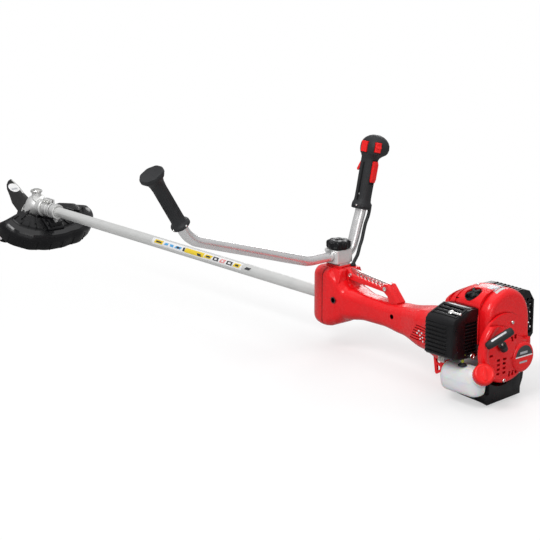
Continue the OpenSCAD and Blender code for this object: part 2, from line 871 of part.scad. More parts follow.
module cylinder_block() {
    fin_pitch = (barrel_top_z - 52) / (fin_count - 1);
    color("Silver") difference() {
        at_drive() union() {
            translate([crank_x, 0, 31]) cylinder(h = 10, r = 24);
            translate([crank_x, 0, 40.1]) round_box([64, 62, 6], 8);
            translate([crank_x, 0, 40.1]) cylinder(h = barrel_top_z - 40.1, r = 27);
            for (i = [0:fin_count - 1]) translate([crank_x, 0, 50 + i * fin_pitch])
                round_box([72, 72 - max(0, i * fin_pitch - 20), 1.8], 14);
            port(-1, 15);
            port(1, 15);
        }
        at_drive() translate([crank_x, 0, 30]) cylinder(h = pin_z + 15 - 30, r = bore_r);
        at_drive() for (s = [-1, 1]) translate([crank_x, s * 15, 62]) rotate([s * -90, 0, 0])
            cylinder(h = 60, r = 9);
        at_plug() translate([0, 0, -4]) cylinder(h = 20, r = 5 + gap);
        at_plug() translate([0, 0, 12]) cylinder(h = 40, r = 11);
    }
}

module flywheel() {
    color("Silver") at_drive() {
        ring_x(fan_front_x, fan_front_x + 4, fan_r - 3, 6 + gap);
        ring_x(fan_front_x, 108, 16, 6 + gap);
        for (i = [0:fan_blades - 1]) rotate([i * 360 / fan_blades, 0, 0])
            box([fan_front_x + 3.5, -1, 28], [fan_front_x + 20, 1, fan_r - 2]);
    }
}

module spark_plug() {
    color("White") at_plug() {
        translate([0, 0, 1]) cylinder(h = 12, r = 5);
        translate([0, 0, 12.2]) cylinder(h = 7, r = 9.5, $fn = 6);
        translate([0, 0, 19]) cylinder(h = 12, r = 5.5);
    }
}

module plug_cap() {
    color("Black") {
        at_plug() difference() {
            union() {
                translate([0, 0, 20]) cylinder(h = 17, r = 10);
                translate([0, 0, 29]) along_x(0, 12.5, 5);
            }
            translate([0, 0, 18]) cylinder(h = 13.2, r = 5.5 + gap);
        }
    }
}

// ---------- covers ----------

// side outline and rear outline of the cylinder cover
hood_side = [[-3, 22], [-3, 67], [-17, 71], [-20, 84], [-13, 98], [2, 109], [22, 118], [46, 122], [113, 122],
    [113, 22]];
hood_front = [[-43.5, 22], [-43.5, 84], [-38, 100], [-24, 112], [-2, 119], [20, 122], [48, 118], [48, 22]];
volute_rear = [[-46, 0], [-46, 68], [-36, 90], [-20, 106], [0, 117], [20, 122], [42, 119], [62, 108],
    [77, 90], [85, 68], [88, 44], [88, 0]];

module inset_box(points, amount) {
    mid_a = (max([for (p = points) p[0]]) + min([for (p = points) p[0]])) / 2;
    mid_b = min([for (p = points) p[1]]);
    half = (max([for (p = points) p[0]]) - min([for (p = points) p[0]])) / 2;
    k = (half - amount) / half;
    translate([mid_a, mid_b]) scale([k, k]) translate([-mid_a, -mid_b]) polygon(points);
}

module hood_form(inset) {
    intersection() {
        rotate([90, 0, 0]) translate([0, 0, -100]) linear_extrude(height = 200)
            inset_box(hood_side, inset);
        translate([-20, 0, 0]) rotate([90, 0, 90]) linear_extrude(height = 104) inset_box(hood_front, inset);
    }
}

module volute_form(x0, x1, inset) {
    translate([x0, 0, 0]) rotate([90, 0, 90]) linear_extrude(height = x1 - x0) {
        inset_box(volute_rear, inset);
        intersection() {
            circle(r = cover_r - inset);
            translate([cover_left_y + inset, -100]) square([200, 200]);
        }
    }
}

module engine_cover() {
    color("Red") at_drive() difference() {
        union() {
            hood_form(0);
            volute_form(fan_front_x - 1.5, fan_rear_x, 0);
        }
        translate([0, 0, -0.5]) hood_form(fan_wall);
        volute_form(fan_front_x - 3, fan_rear_x - fan_wall, fan_wall);
        along_x(80, 120, fan_r + 1);
        box([20, -60, 44], [76, -30, 82]);
        box([20, 30, 30], [76, 60, 90]);
        at_plug_hole();
        for (i = [0:4]) box([-20, -26 + i * 12, 51], [6, -20 + i * 12, 66]);
        box([-20, -60, 20], [fan_front_x - 4, 60, 30]);
        box([-20, -60, 20], [15, 60, 46]);
    }
}

module at_plug_hole() {
    translate([crank_x + 2, -14.7, 84]) rotate([20, 0, 0]) cylinder(h = 60, r = 17);
}

module muffler() {
    color("Gray") at_drive() {
        translate([crank_x - 2, 84, 6]) round_box([60, 56, 80], 12);
        translate([crank_x, 44.2, 62]) rotate([-90, 0, 0]) cylinder(h = 14, r = 14);
    }
}

module guard_box(inset) {
    rotate([90, 0, 90]) translate([0, 0, -10 + inset]) linear_extrude(height = 92 - 2 * inset)
        polygon([[49 - inset * 2, -12 + inset], [124 - inset, -12 + inset], [133 - inset, -2 + inset],
            [133 - inset, 74], [118 - inset, 96 - inset], [96, 103 - inset], [49 - inset * 2, 103 - inset]]);
}

module muffler_guard() {
    color("Black") at_drive() difference() {
        guard_box(0);
        guard_box(2.5);
        for (i = [0:5]) for (j = [0:7]) {
            translate([70, 60 + 12 * i + (j % 2) * 5, 4 + 10.5 * j]) along_x(0, 20, 3.4);
            translate([-2 + 14 * i + (j % 2) * 5, 120, 4 + 8 * j]) rotate([-90, 0, 0])
                cylinder(h = 20, r = 2.8);
        }
        for (i = [0:6]) box([2 + 10 * i, 60, 98], [7 + 10 * i, 100, 110]);
    }
}

module carburetor() {
    color("Silver") at_drive() difference() {
        union() {
            box([crank_x - 18, -72, 46], [crank_x + 18, -44.2, 78]);
            translate([crank_x, -58, 77]) cylinder(h = 6, r = 9);
            box([crank_x - 14, -70, 40], [crank_x + 14, -46, 47]);
        }
        translate([crank_x, -40, 62]) rotate([90, 0, 0]) cylinder(h = 40, r = 9);
    }
}

// mounting plate behind the filter element
module filter_base() {
    at_drive() difference() {
        box([2, -76, -10], [74, -72.2, 64]);
        translate([crank_x, -60, 56]) rotate([90, 0, 0]) cylinder(h = 40, r = 10);
    }
}

module air_filter() {
    color("Goldenrod") {
        filter_base();
        at_drive() difference() {
            box([6, -112, -6], [72, -76.2, 60]);
            for (i = [0:7]) box([8 + 8 * i, -120, -4], [11 + 8 * i, -84, 58]);
        }
    }
}

module cleaner_form(inset) {
    x0 = cleaner_x[0] + inset;
    x1 = cleaner_x[1] - inset;
    translate([x0, 0, 0]) rotate([90, 0, 90]) linear_extrude(height = x1 - x0)
        polygon([[-121 + inset, -17 + inset], [-121 + inset, 64], [-114 + inset, 73 - inset],
            [-60, 93 - inset], [-44, 91 - inset], [-44 + inset * 2, -24 + inset],
            [-100, -24 + inset]]);
}

module cleaner_cover() {
    pitch = 76 / cleaner_ribs;
    color("Black") at_drive() difference() {
        union() {
            cleaner_form(0);
            for (i = [0:cleaner_ribs - 1]) box([cleaner_x[0] + 1, -124, -14 + i * pitch],
                [cleaner_x[1] - 1, -120, -9 + i * pitch]);
        }
        cleaner_form(2.5);
        for (i = [1:8]) box([75, -78, -12 + i * 8], [85, -50, -8 + i * 8]);
        translate(choke_at) rotate([choke_tilt, 0, 0]) translate([0, 0, -20]) cylinder(h = 40, r = 2.45);
        translate(latch_at) along_x(-10, 10, 2 + gap);
    }
}

module cleaner_knob() {
    color("Silver") at_drive() translate(latch_at) {
        rotate([0, 90, 0]) cylinder(h = 5, r = 6);
        along_x(-1, 8, 2);
    }
}

module choke_lever() {
    color("Silver") at_drive() translate(choke_at) rotate([choke_tilt, 0, 0]) {
        translate([0, 0, 0.6]) cylinder(h = 4, r = 6);
        translate([0, -2.5, 1]) cube([24, 5, 3]);
        translate([0, 0, -9]) cylinder(h = 10, r = 2.4);
    }
}

module primer_bulb() {
    color("Honeydew") at_drive() translate(primer_at) rotate([90, 0, 0]) {
        intersection() {
            sphere(r = 6.5);
            cylinder(h = 8, r = 7);
        }
        translate([0, 0, -2]) cylinder(h = 2.1, r = 6.5);
    }
}

// ---------- starter ----------

module starter_housing() {
    color("Red") difference() {
        union() {
            at_drive() along_x(fan_rear_x + 1.2, recoil_x, starter_r);
            at_drive() translate(bulge_at) along_x(fan_rear_x + 1.2, recoil_x + 4, bulge_r);
            at_pull() translate([0, 0, -12]) cylinder(h = 19, r = 9.5);
        }
        at_drive() difference() {
            along_x(fan_rear_x, recoil_x - 3, starter_r - 3);
            along_x(100, recoil_x, 6);
        }
        at_drive() translate(bulge_at) along_x(fan_rear_x, recoil_x + 1, bulge_r - 3);
        at_pull() translate([0, 0, -60]) cylinder(h = 90, r = 2.6);
        for (y = [-31, -11]) for (z = [-44, -34, -24]) at_drive() box([120, y, z], [140, y + 10, z + 6]);
        for (i = [0:3]) at_drive() box([120, 4 + 12 * i, 11 + 4 * i], [140, 12 + 12 * i, 24 + 4 * i]);
    }
}

module starter_pulley() {
    color("Gray") at_drive() difference() {
        along_x(115, 126, 36);
        ring_x(118, 123, 40, 29);
        along_x(100, 140, 6 + gap);
    }
}

module starter_rope() {
    color("White") at_pull() translate([0, 0, 7.5]) cylinder(h = pull_len - 14, r = 2);
}

module starter_handle() {
    color("Black") at_pull() translate([0, 0, pull_len]) difference() {
        union() {
            rotate([0, 0, pull_roll]) rotate([0, 90, 0]) {
                translate([0, 0, -24]) cylinder(h = 48, r = 9);
                for (s = [-24, 24]) translate([0, 0, s]) sphere(r = 9);
            }
            translate([0, 0, -15]) cylinder(h = 12, r = 6.5);
        }
        translate([0, 0, -20]) cylinder(h = 13.6, r = 2 + gap);
    }
}

// ---------- fuel system ----------

module fuel_tank() {
    color("White") difference() {
        union() {
            at_drive() translate([72, -73, -92]) round_box([108, 50, 60], 16);
            at_drive() box([18, -66, -92], [79, 60, -50]);
            at_cap() translate([0, 0, -40]) cylinder(h = 36, r = 15);
        }
        at_drive() translate([72, -73, -89.5]) round_box([103, 45, 55], 14);
        at_drive() box([20.5, -66, -89.5], [76.5, 57.5, -52.5]);
        at_drive() along_x(80, 140, cover_r + 1.5);
        at_cap() translate([0, 0, -44]) cylinder(h = 60, r = 12);
        at_drive() translate([80, -84, -40]) cylinder(h = 20, r = 6);
    }
}

module fuel_cap() {
    color("Red") at_cap() difference() {
        union() {
            translate([0, 0, -12.7]) cylinder(h = 19.7, r = 21.8);
            for (i = [0:11]) rotate([0, 0, i * 30]) translate([21, 0, -12.7]) cylinder(h = 17, r = 2.2);
        }
        translate([0, 0, -14]) cylinder(h = 10.2, r = 15.3);
    }
}

module tank_grommet() {
    at_drive() translate([80, -84, -36]) difference() {
        union() {
            cylinder(h = 8, r = 5.9);
            translate([0, 0, 4.1]) cylinder(h = 5, r = 8);
        }
        translate([0, 0, -1]) cylinder(h = 20, r = 3 + gap);
    }
}

module fuel_line() {
    color("YellowGreen") {
        at_drive() rod([[80, -84, -60], [80, -84, -24.5]], 3);
        tank_grommet();
    }
}

foot_outline = [[-3.7, -34], [40, -42], [100, -48], [125, -54], [113, 62], [-3.7, 62]];

module foot() {
    color("Black") at_drive() {
        foot_tray();
        for (y = [-20, 10, 40]) box([6, y, -axis_z + 3], [90, y + 4, -92.5]);
    }
}

module foot_tray() {
    difference() {
        translate([0, 0, -axis_z]) linear_extrude(height = 46) polygon(foot_outline);
        translate([0, 0, -axis_z + 3.5]) linear_extrude(height = 60)
            polygon([[-0.2, -31], [40, -38.5], [100, -44.5], [121.5, -50.3], [110, 58.5], [-0.2, 58.5]]);
        along_x(78, 140, cover_r + 2.5);
        translate([72, -73, -92.4]) round_box([109, 50.8, 70], 16);
        box([-10, -70, -92.4], [80, 70, -50]);
    }
}

// ---------- grouped nodes ----------

module screws() {
    color("Gainsboro") {
        gear_case_bolts();
        grease_plug();
        guard_bolts();
        shell_screws();
        clamp_stud();
    }
}

module knife_mount() {
    color("Gray") {
        knife_holder();
        knife_cup();
        knife_nut();
    }
}

main_tube();
drive_shaft();
bearings();
gear_case();
guard_bracket();
guard();
pinion();
bevel_gear();
output_shaft();
knife();
knife_mount();
screws();
front_cap();
front_seal();
shell_left();
shell_right();
hanger_plate();
clamp_base();
clamp_halves();
knob();
handlebar();
left_grip();
control_housing();
throttle_trigger();
lockout_lever();
stop_switch();
start_button();
throttle_cable();
cable_loop();
front_frame();
clutch_housing();
clutch_drum();
clutch_hub();
clutch_shoe_top();
clutch_shoe_bottom();
crankcase();
crankshaft();
connecting_rod();
piston();
cylinder_block();
flywheel();
spark_plug();
plug_cap();
engine_cover();
muffler();
muffler_guard();
carburetor();
air_filter();
cleaner_cover();
cleaner_knob();
choke_lever();
primer_bulb();
starter_housing();
starter_pulley();
starter_rope();
starter_handle();
fuel_tank();
fuel_cap();
fuel_line();
foot();
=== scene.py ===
import json
import math
import random
import bmesh
import bpy
from mathutils import Matrix, Vector

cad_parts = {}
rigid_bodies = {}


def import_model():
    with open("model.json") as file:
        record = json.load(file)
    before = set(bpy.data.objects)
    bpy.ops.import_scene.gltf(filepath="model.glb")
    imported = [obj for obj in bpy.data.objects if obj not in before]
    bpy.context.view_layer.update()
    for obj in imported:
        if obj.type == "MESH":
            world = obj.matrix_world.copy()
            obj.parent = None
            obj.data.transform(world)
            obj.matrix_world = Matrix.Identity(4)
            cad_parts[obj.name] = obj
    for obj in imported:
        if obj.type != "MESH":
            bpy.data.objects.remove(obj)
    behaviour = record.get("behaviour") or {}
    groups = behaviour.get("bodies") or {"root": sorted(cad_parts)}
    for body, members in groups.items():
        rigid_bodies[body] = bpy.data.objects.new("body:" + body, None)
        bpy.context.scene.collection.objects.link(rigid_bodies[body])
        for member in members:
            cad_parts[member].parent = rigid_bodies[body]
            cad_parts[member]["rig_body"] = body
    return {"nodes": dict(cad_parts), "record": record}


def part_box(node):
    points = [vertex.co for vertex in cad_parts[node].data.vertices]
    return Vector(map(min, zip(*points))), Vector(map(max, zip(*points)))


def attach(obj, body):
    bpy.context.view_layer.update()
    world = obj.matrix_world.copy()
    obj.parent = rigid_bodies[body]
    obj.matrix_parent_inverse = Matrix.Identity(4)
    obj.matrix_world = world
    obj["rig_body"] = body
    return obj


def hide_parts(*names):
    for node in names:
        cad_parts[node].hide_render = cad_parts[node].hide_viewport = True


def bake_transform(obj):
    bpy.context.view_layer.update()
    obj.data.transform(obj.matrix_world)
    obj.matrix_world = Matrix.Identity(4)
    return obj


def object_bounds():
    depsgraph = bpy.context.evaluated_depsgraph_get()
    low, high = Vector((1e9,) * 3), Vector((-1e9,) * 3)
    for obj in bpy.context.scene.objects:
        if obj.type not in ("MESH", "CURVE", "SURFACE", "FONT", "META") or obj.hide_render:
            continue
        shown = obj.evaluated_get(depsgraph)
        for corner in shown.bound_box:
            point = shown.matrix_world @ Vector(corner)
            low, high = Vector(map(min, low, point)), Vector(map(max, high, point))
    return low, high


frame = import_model()
CAD_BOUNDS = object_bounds()
JOINTS = {j["name"]: j for j in frame["record"]["behaviour"]["joints"]}
MM = 0.001
rng = random.Random(7)


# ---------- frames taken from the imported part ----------

def local_frame(origin, rotation=None):
    """Millimetre frame at a point of the row frame."""
    turn = rotation.to_4x4() if rotation else Matrix.Identity(4)
    return Matrix.Translation(origin) @ turn @ Matrix.Scale(MM, 4)


def axis_turn(axis):
    """Rotation that takes Z to the axis: a tilt about Y, then a turn about Z."""
    a = Vector(axis).normalized()
    return Matrix.Rotation(math.atan2(a.y, a.x), 3, "Z") @ Matrix.Rotation(math.acos(a.z), 3, "Y")


def spin(degrees, axis="Z"):
    return Matrix.Rotation(math.radians(degrees), 3, axis)


def joint_point(name):
    return Vector(JOINTS[name]["pos_m"])


ORIGIN = Vector((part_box("crankcase")[0].x, 0.0, joint_point("drive_spin").z))
DRIVE = local_frame(ORIGIN)
HEAD = local_frame(joint_point("blade_spin"), axis_turn(JOINTS["blade_spin"]["axis"]))
PULL_AXIS = Vector(JOINTS["starter_pull"]["axis"])
rope_low, rope_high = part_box("starter_rope")
ROPE_HALF = 19.5
PULL = local_frame((rope_low + rope_high) / 2 - PULL_AXIS * ROPE_HALF * MM, axis_turn(PULL_AXIS))
CAP = local_frame(joint_point("tank_cap_turn"), axis_turn(JOINTS["tank_cap_turn"]["axis"]))
throttle_axis = JOINTS["throttle_pull"]["axis"]
control_turn = Matrix.Rotation(-math.atan2(throttle_axis[2], -throttle_axis[1]), 3, "X")
CONTROL = local_frame(joint_point("throttle_pull") - control_turn @ Vector((-12, 0, 124)) * MM,
    control_turn)
BAR_X = (joint_point("handlebar_swivel").x - ORIGIN.x) / MM
GEAR_X = (joint_point("blade_spin").x - ORIGIN.x) / MM
LEFT_LEAN = math.radians(32.3)
grip_low, grip_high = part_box("left_grip")
GRIP_LENGTH, GRIP_FLANGE_R = 145.9, 31
grip_out = GRIP_LENGTH * math.sin(LEFT_LEAN) + GRIP_FLANGE_R * math.cos(LEFT_LEAN)
grip_up = GRIP_LENGTH * math.cos(LEFT_LEAN) + GRIP_FLANGE_R * math.sin(LEFT_LEAN)
GRIP = local_frame(
    Vector((joint_point("handlebar_swivel").x, grip_low.y + grip_out * MM, grip_high.z - grip_up * MM)),
    Matrix.Rotation(LEFT_LEAN, 3, "X"))


# ---------- materials ----------

def node(tree, kind, **values):
    n = tree.nodes.new("ShaderNode" + kind)
    for key, value in values.items():
        if key in n.inputs.keys():
            n.inputs[key].default_value = value
        else:
            setattr(n, key, value)
    return n


def material(name, color, rough=0.45, metal=0.0, vary=0.12, grain=900.0, bump=0.06, coat=0.0,
             streak=None, clear=0.0, subsurface=0.0, smudge=0.10, corner_shade=0.0, shine=0.5):
    """Procedural surface: colour drift, painted shade in corners from ambient occlusion, smudged roughness,
    fine grain and, on metal, brushed streaks.
    """
    m = bpy.data.materials.new(name)
    m.use_nodes = True
    t = m.node_tree
    bsdf = t.nodes["Principled BSDF"]
    link = t.links.new
    where = node(t, "TexCoord").outputs["Object"]
    if streak:
        stretch = node(t, "Mapping", Scale=streak)
        link(where, stretch.inputs["Vector"])
        grain_at = stretch.outputs["Vector"]
    else:
        grain_at = where
    drift = node(t, "TexNoise", Scale=22.0, Detail=4.0, Roughness=0.6)
    link(where, drift.inputs["Vector"])
    fine = node(t, "TexNoise", Scale=grain, Detail=3.0, Roughness=0.55)
    link(grain_at, fine.inputs["Vector"])
    ramp = node(t, "ValToRGB")
    ramp.color_ramp.elements[0].position = 0.3
    ramp.color_ramp.elements[1].position = 0.72
    ramp.color_ramp.elements[0].color = [c * (1 - vary) for c in color] + [1]
    ramp.color_ramp.elements[1].color = [min(1, c * (1 + vary)) for c in color] + [1]
    blend = node(t, "Mix", data_type="FLOAT")
    blend.inputs[0].default_value = 0.35
    link(drift.outputs["Fac"], blend.inputs[2])
    link(fine.outputs["Fac"], blend.inputs[3])
    link(blend.outputs[0], ramp.inputs["Fac"])
    base = ramp.outputs["Color"]
    # Painted shade: ambient occlusion darkens the base colour in corners and creases.
    if corner_shade:
        corner = node(t, "AmbientOcclusion", Distance=0.006)
        corner.samples = 4
        shade = node(t, "Mix", data_type="RGBA", blend_type="MULTIPLY")
        shade.inputs[0].default_value = corner_shade
        link(base, shade.inputs[6])
        link(corner.outputs["Color"], shade.inputs[7])
        base = shade.outputs[2]
    link(base, bsdf.inputs["Base Color"])
    rub = node(t, "TexNoise", Scale=60.0, Detail=5.0, Roughness=0.65)
    link(where, rub.inputs["Vector"])
    band = node(t, "MapRange")
    band.inputs["To Min"].default_value = max(0.03, rough - smudge)
    band.inputs["To Max"].default_value = rough + smudge
    link(rub.outputs["Fac"], band.inputs["Value"])
    link(band.outputs["Result"], bsdf.inputs["Roughness"])
    lift = node(t, "Bump", Strength=bump, Distance=0.0006)
    link(fine.outputs["Fac"], lift.inputs["Height"])
    link(lift.outputs["Normal"], bsdf.inputs["Normal"])
    bsdf.inputs["Metallic"].default_value = metal
    bsdf.inputs["Specular IOR Level"].default_value = shine
    bsdf.inputs["Coat Weight"].default_value = coat
    bsdf.inputs["Coat Roughness"].default_value = 0.08
    bsdf.inputs["Transmission Weight"].default_value = clear
    if subsurface:
        bsdf.inputs["Subsurface Weight"].default_value = subsurface
        bsdf.inputs["Subsurface Scale"].default_value = 0.01
    return m


# Painted shade: the red cover darkens in its corners and creases through ambient occlusion.
RED = material("cover_red", (0.86, 0.008, 0.012), 0.27, vary=0.06, grain=2500, bump=0.015, coat=0.22,
    smudge=0.06, corner_shade=0.6, shine=0.3)
SATIN_RED = material("control_red", (0.88, 0.012, 0.012), 0.36, vary=0.08, grain=1800, bump=0.05,
    shine=0.35)
BLACK = material("moulded_black", (0.005, 0.005, 0.006), 0.29, vary=0.2, grain=1500, bump=0.14, shine=0.26)
GLOSS_BLACK = material("gloss_black", (0.005, 0.005, 0.006), 0.14, vary=0.15, grain=2200, bump=0.02,
    shine=0.4, smudge=0.05)
GRIP_GREY = material("grip_grey", (0.020, 0.021, 0.023), 0.56, vary=0.18, grain=1100, bump=0.30,
    shine=0.35)
RUBBER = material("rubber_black", (0.009, 0.012, 0.013), 0.6, vary=0.2, grain=900, bump=0.15)
TUBE = material("tube_alu", (0.84, 0.845, 0.83), 0.32, metal=0.55, vary=0.05, grain=500, bump=0.04,
    streak=(0.05, 1, 1), smudge=0.07)
BAR = material("bar_alu", (0.84, 0.84, 0.84), 0.26, metal=0.7, vary=0.05, grain=700, bump=0.05)
# Painted shade: the cast aluminium darkens in its corners and creases through ambient occlusion.
CAST = material("cast_alu", (0.78, 0.78, 0.77), 0.42, metal=0.6, vary=0.16, grain=650, bump=0.42,
    smudge=0.12, corner_shade=0.7)
SHEET = material("bracket_alu", (0.76, 0.76, 0.75), 0.33, metal=1.0, vary=0.08, grain=600, bump=0.10,
    streak=(1, 0.08, 1))
STEEL = material("machined_steel", (0.48, 0.48, 0.49), 0.30, metal=1.0, vary=0.12, grain=500, bump=0.10,
    streak=(1, 1, 0.08))
ZINC = material("zinc_plate", (0.82, 0.82, 0.80), 0.24, metal=1.0, vary=0.1, grain=900, bump=0.06)
BARE = material("bare_edge", (0.62, 0.62, 0.61), 0.28, metal=1.0, vary=0.1, grain=800, bump=0.12,
    streak=(1, 1, 0.1))
KNIFE = material("knife_black", (0.006, 0.006, 0.006), 0.42, vary=0.25, grain=700, bump=0.12, shine=0.25)
HEATED = material("muffler_steel", (0.35, 0.31, 0.27), 0.42, metal=1.0, vary=0.3, grain=300, bump=0.2)
FELT = material("filter_felt", (0.62, 0.46, 0.16), 0.9, vary=0.3, grain=1600, bump=0.8)
CERAMIC = material("ceramic_white", (0.83, 0.81, 0.76), 0.2, vary=0.04, grain=900, bump=0.02)
TANK = material("tank_white", (0.94, 0.95, 0.97), 0.34, vary=0.03, grain=500, bump=0.05, clear=0.12,
    subsurface=0.5)
BULB = material("bulb_clear", (0.85, 0.85, 0.78), 0.2, vary=0.04, grain=700, bump=0.02, clear=0.5)
HOSE = material("hose_yellow", (0.50, 0.60, 0.05), 0.25, vary=0.1, grain=900, bump=0.03, clear=0.25)
ROPE = material("rope_braid", (0.72, 0.70, 0.64), 0.8, vary=0.25, grain=1400, bump=0.7, streak=(1, 1, 0.4))


def ink(name, color, rough=0.35, vary=0.05, **more):
    """Smooth printed surface of a label."""
    return material(name, color, rough, vary=vary, grain=1500, bump=0.02, **more)


SILVER_INK = ink("silver_label", (0.50, 0.51, 0.53), 0.4, metal=0.3)
WHITE_INK = ink("white_label", (0.86, 0.86, 0.86), vary=0.03)
PALE_INK = ink("pale_label", (0.62, 0.61, 0.60), 0.5, shine=0.2)
DARK_INK = ink("dark_label", (0.035, 0.038, 0.042), 0.3, vary=0.1)
YELLOW_INK = ink("yellow_label", (0.85, 0.62, 0.03))
SKY_INK = ink("sky_label", (0.10, 0.42, 0.78))
PINK_INK = ink("pink_label", (0.80, 0.30, 0.30))
FLOOR = material("studio_floor", (0.92, 0.92, 0.92), 0.8, vary=0.004, grain=40, bump=0.0)

CAD_FINISH = {
    TUBE: ["main_tube"], BAR: ["handlebar"], CAST: ["crankcase", "cylinder_block", "flywheel",
    "carburetor", "piston", "clutch_hub", "starter_pulley"],
    STEEL: ["drive_shaft", "bearings", "pinion", "bevel_gear", "output_shaft", "knife_mount",
    "clutch_drum", "clutch_shoe_top", "clutch_shoe_bottom", "crankshaft", "connecting_rod"],
    ZINC: ["screws", "cleaner_knob", "choke_lever"], SHEET: ["hanger_plate"],
    HEATED: ["muffler"], FELT: ["air_filter"], CERAMIC: ["spark_plug"], BLACK: ["clutch_housing"],
    BULB: ["primer_bulb"], HOSE: ["fuel_line"], RUBBER: ["front_seal", "plug_cap"]}
for finish, names in CAD_FINISH.items():
    for name in names:
        cad_mesh = frame["nodes"][name].data
        cad_mesh.materials.clear()
        cad_mesh.materials.append(finish)
        if name in ("main_tube", "handlebar"):
            for polygon in cad_mesh.polygons:
                polygon.use_smooth = True


# ---------- mesh tools ----------

def finish(name, bm, mat, at=DRIVE, body="machine", bevel=0.0, segments=3, angle=35, smooth=40,
           stands=None):
    """Mesh in millimetres of a local frame, made into a piece that rides on a body."""
    bmesh.ops.remove_doubles(bm, verts=bm.verts, dist=0.001)
    bmesh.ops.recalc_face_normals(bm, faces=bm.faces)
    bm.transform(at)
    mesh = bpy.data.meshes.new(name)
    bm.to_mesh(mesh)
    bm.free()
    obj = bpy.data.objects.new(name, mesh)
    bpy.context.scene.collection.objects.link(obj)
    mesh.materials.append(mat)
    if bevel:
        round_edges(obj, bevel, segments, angle)
    shade(obj, smooth)
    if body:
        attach(obj, body)
    if stands:
        stands_for(obj, stands)
    return obj


def round_edges(obj, width, segments, angle):
    """Rounds the edges sharper than the angle."""
    mod = obj.modifiers.new("round", "BEVEL")
    mod.width = width * MM
    mod.segments = segments
    mod.limit_method = "ANGLE"
    mod.angle_limit = math.radians(angle)
    bake(obj)


def bake(obj):
    """Applies an object's modifiers to its mesh."""
    graph = bpy.context.evaluated_depsgraph_get()
    mesh = bpy.data.meshes.new_from_object(obj.evaluated_get(graph))
    old = obj.data
    obj.modifiers.clear()
    obj.data = mesh
    bpy.data.meshes.remove(old)


def shade(obj, angle):
    """Smooth faces, with edges sharper than the angle kept crisp."""
    mesh = obj.data
    bm = bmesh.new()
    bm.from_mesh(mesh)
    for face in bm.faces:
        face.smooth = True
    for edge in bm.edges:
        edge.smooth = len(edge.link_faces) == 2 and edge.calc_face_angle() < math.radians(angle)
    bm.to_mesh(mesh)
    bm.free()


def cut(obj, tools, smooth, at=DRIVE):
    """Takes the tools, closed bmeshes in millimetres of a local frame, out of a piece."""
    for bm in tools:
        bmesh.ops.recalc_face_normals(bm, faces=bm.faces)
    whole = joined(*tools)
    whole.transform(at)
    mesh = bpy.data.meshes.new("cutter")
    whole.to_mesh(mesh)
    whole.free()
    cutter = bpy.data.objects.new("cutter", mesh)
    bpy.context.scene.collection.objects.link(cutter)
    mod = obj.modifiers.new("cut", "BOOLEAN")
    mod.object = cutter
    mod.solver = "EXACT"
    mod.use_self = True
    parent, obj.parent = obj.parent, None
    bake(obj)
    obj.parent = parent
    bpy.data.objects.remove(cutter)
    bpy.data.meshes.remove(mesh)
    shade(obj, smooth)


def prism(points, axis, low, high):
    """Polygon extruded along an axis: points are the other two coordinates in X, Y, Z order."""
    bm = bmesh.new()
    def place(a, b, c):
        return {"x": (c, a, b), "y": (a, c, b), "z": (a, b, c)}[axis]
    ends = [[bm.verts.new(place(p[0], p[1], h)) for p in points] for h in (low, high)]
    bm.faces.new(ends[0])
    bm.faces.new(ends[1])
    for i in range(len(points)):
        j = (i + 1) % len(points)
        bm.faces.new((ends[0][i], ends[0][j], ends[1][j], ends[1][i]))
    return bm


def block(low, high):
    return prism([(low[0], low[1]), (high[0], low[1]), (high[0], high[1]), (low[0], high[1])], "z", low[2],
        high[2])


def loft(rings):
    """Skin over rings of points of one length, closed at both ends."""
    bm = bmesh.new()
    rows = [[bm.verts.new(p) for p in ring] for ring in rings]
    count = len(rows[0])
    for a, b in zip(rows, rows[1:]):
        for i in range(count):
            bm.faces.new((a[i], a[(i + 1) % count], b[(i + 1) % count], b[i]))
    bm.faces.new(rows[0])
    bm.faces.new(rows[-1])
    return bm


def lathe(profile, axis="z", centre=(0, 0, 0), count=72, wave=None):
    """Turned form from (height, radius) pairs about an axis through a point."""
    rings = []
    for h, r in profile:
        ring = []
        for i in range(count):
            a = 2 * math.pi * i / count
            q = max(r, 0.02) * (wave(a, h) if wave else 1)
            u, v = q * math.cos(a), q * math.sin(a)
            p = {"x": (h, u, v), "y": (u, h, v), "z": (u, v, h)}[axis]
            ring.append([p[k] + centre[k] for k in range(3)])
        rings.append(ring)
    return loft(rings)


def rounded(half_a, half_b, r, per_corner=6, mid=(0, 0)):
    """Rounded rectangle as a closed list of points, counter-clockwise."""
    r = min(r, half_a - 0.01, half_b - 0.01)
    points = []
    for k, (sa, sb) in enumerate(((1, 1), (-1, 1), (-1, -1), (1, -1))):
        for i in range(per_corner):
            a = math.radians(90 * k + 90 * i / (per_corner - 1))
            points.append((mid[0] + sa * (half_a - r) + r * math.cos(a),
                mid[1] + sb * (half_b - r) + r * math.sin(a)))
    return points


def curve_points(points, steps=8):
    """Smooth run through the points."""
    out = []
    pts = [Vector(p) for p in points]
    pts = [2 * pts[0] - pts[1]] + pts + [2 * pts[-1] - pts[-2]]
    for i in range(1, len(pts) - 2):
        a, b, c, d = pts[i - 1:i + 3]
        for k in range(steps):
            t = k / steps
            out.append(0.5 * (2 * b + (c - a) * t + (2 * a - 5 * b + 4 * c - d) * t * t
                              + (3 * b - 3 * c + d - a) * t ** 3))
    out.append(pts[-2])
    return out


def pipe(points, radius, count=20):
    """Round section carried along a run of points; radius is a number or a function of 0..1."""
    rings = []
    normal = None
    for i, p in enumerate(points):
        ahead = points[min(i + 1, len(points) - 1)] - points[max(i - 1, 0)]
        ahead.normalize()
        if normal is None:
            normal = ahead.orthogonal().normalized()
        normal = (normal - ahead * normal.dot(ahead)).normalized()
        side = ahead.cross(normal)
        r = radius(i / (len(points) - 1)) if callable(radius) else radius
        rings.append([p + (normal * math.cos(a) + side * math.sin(a)) * r
                      for a in (2 * math.pi * k / count for k in range(count))])
    return loft(rings)


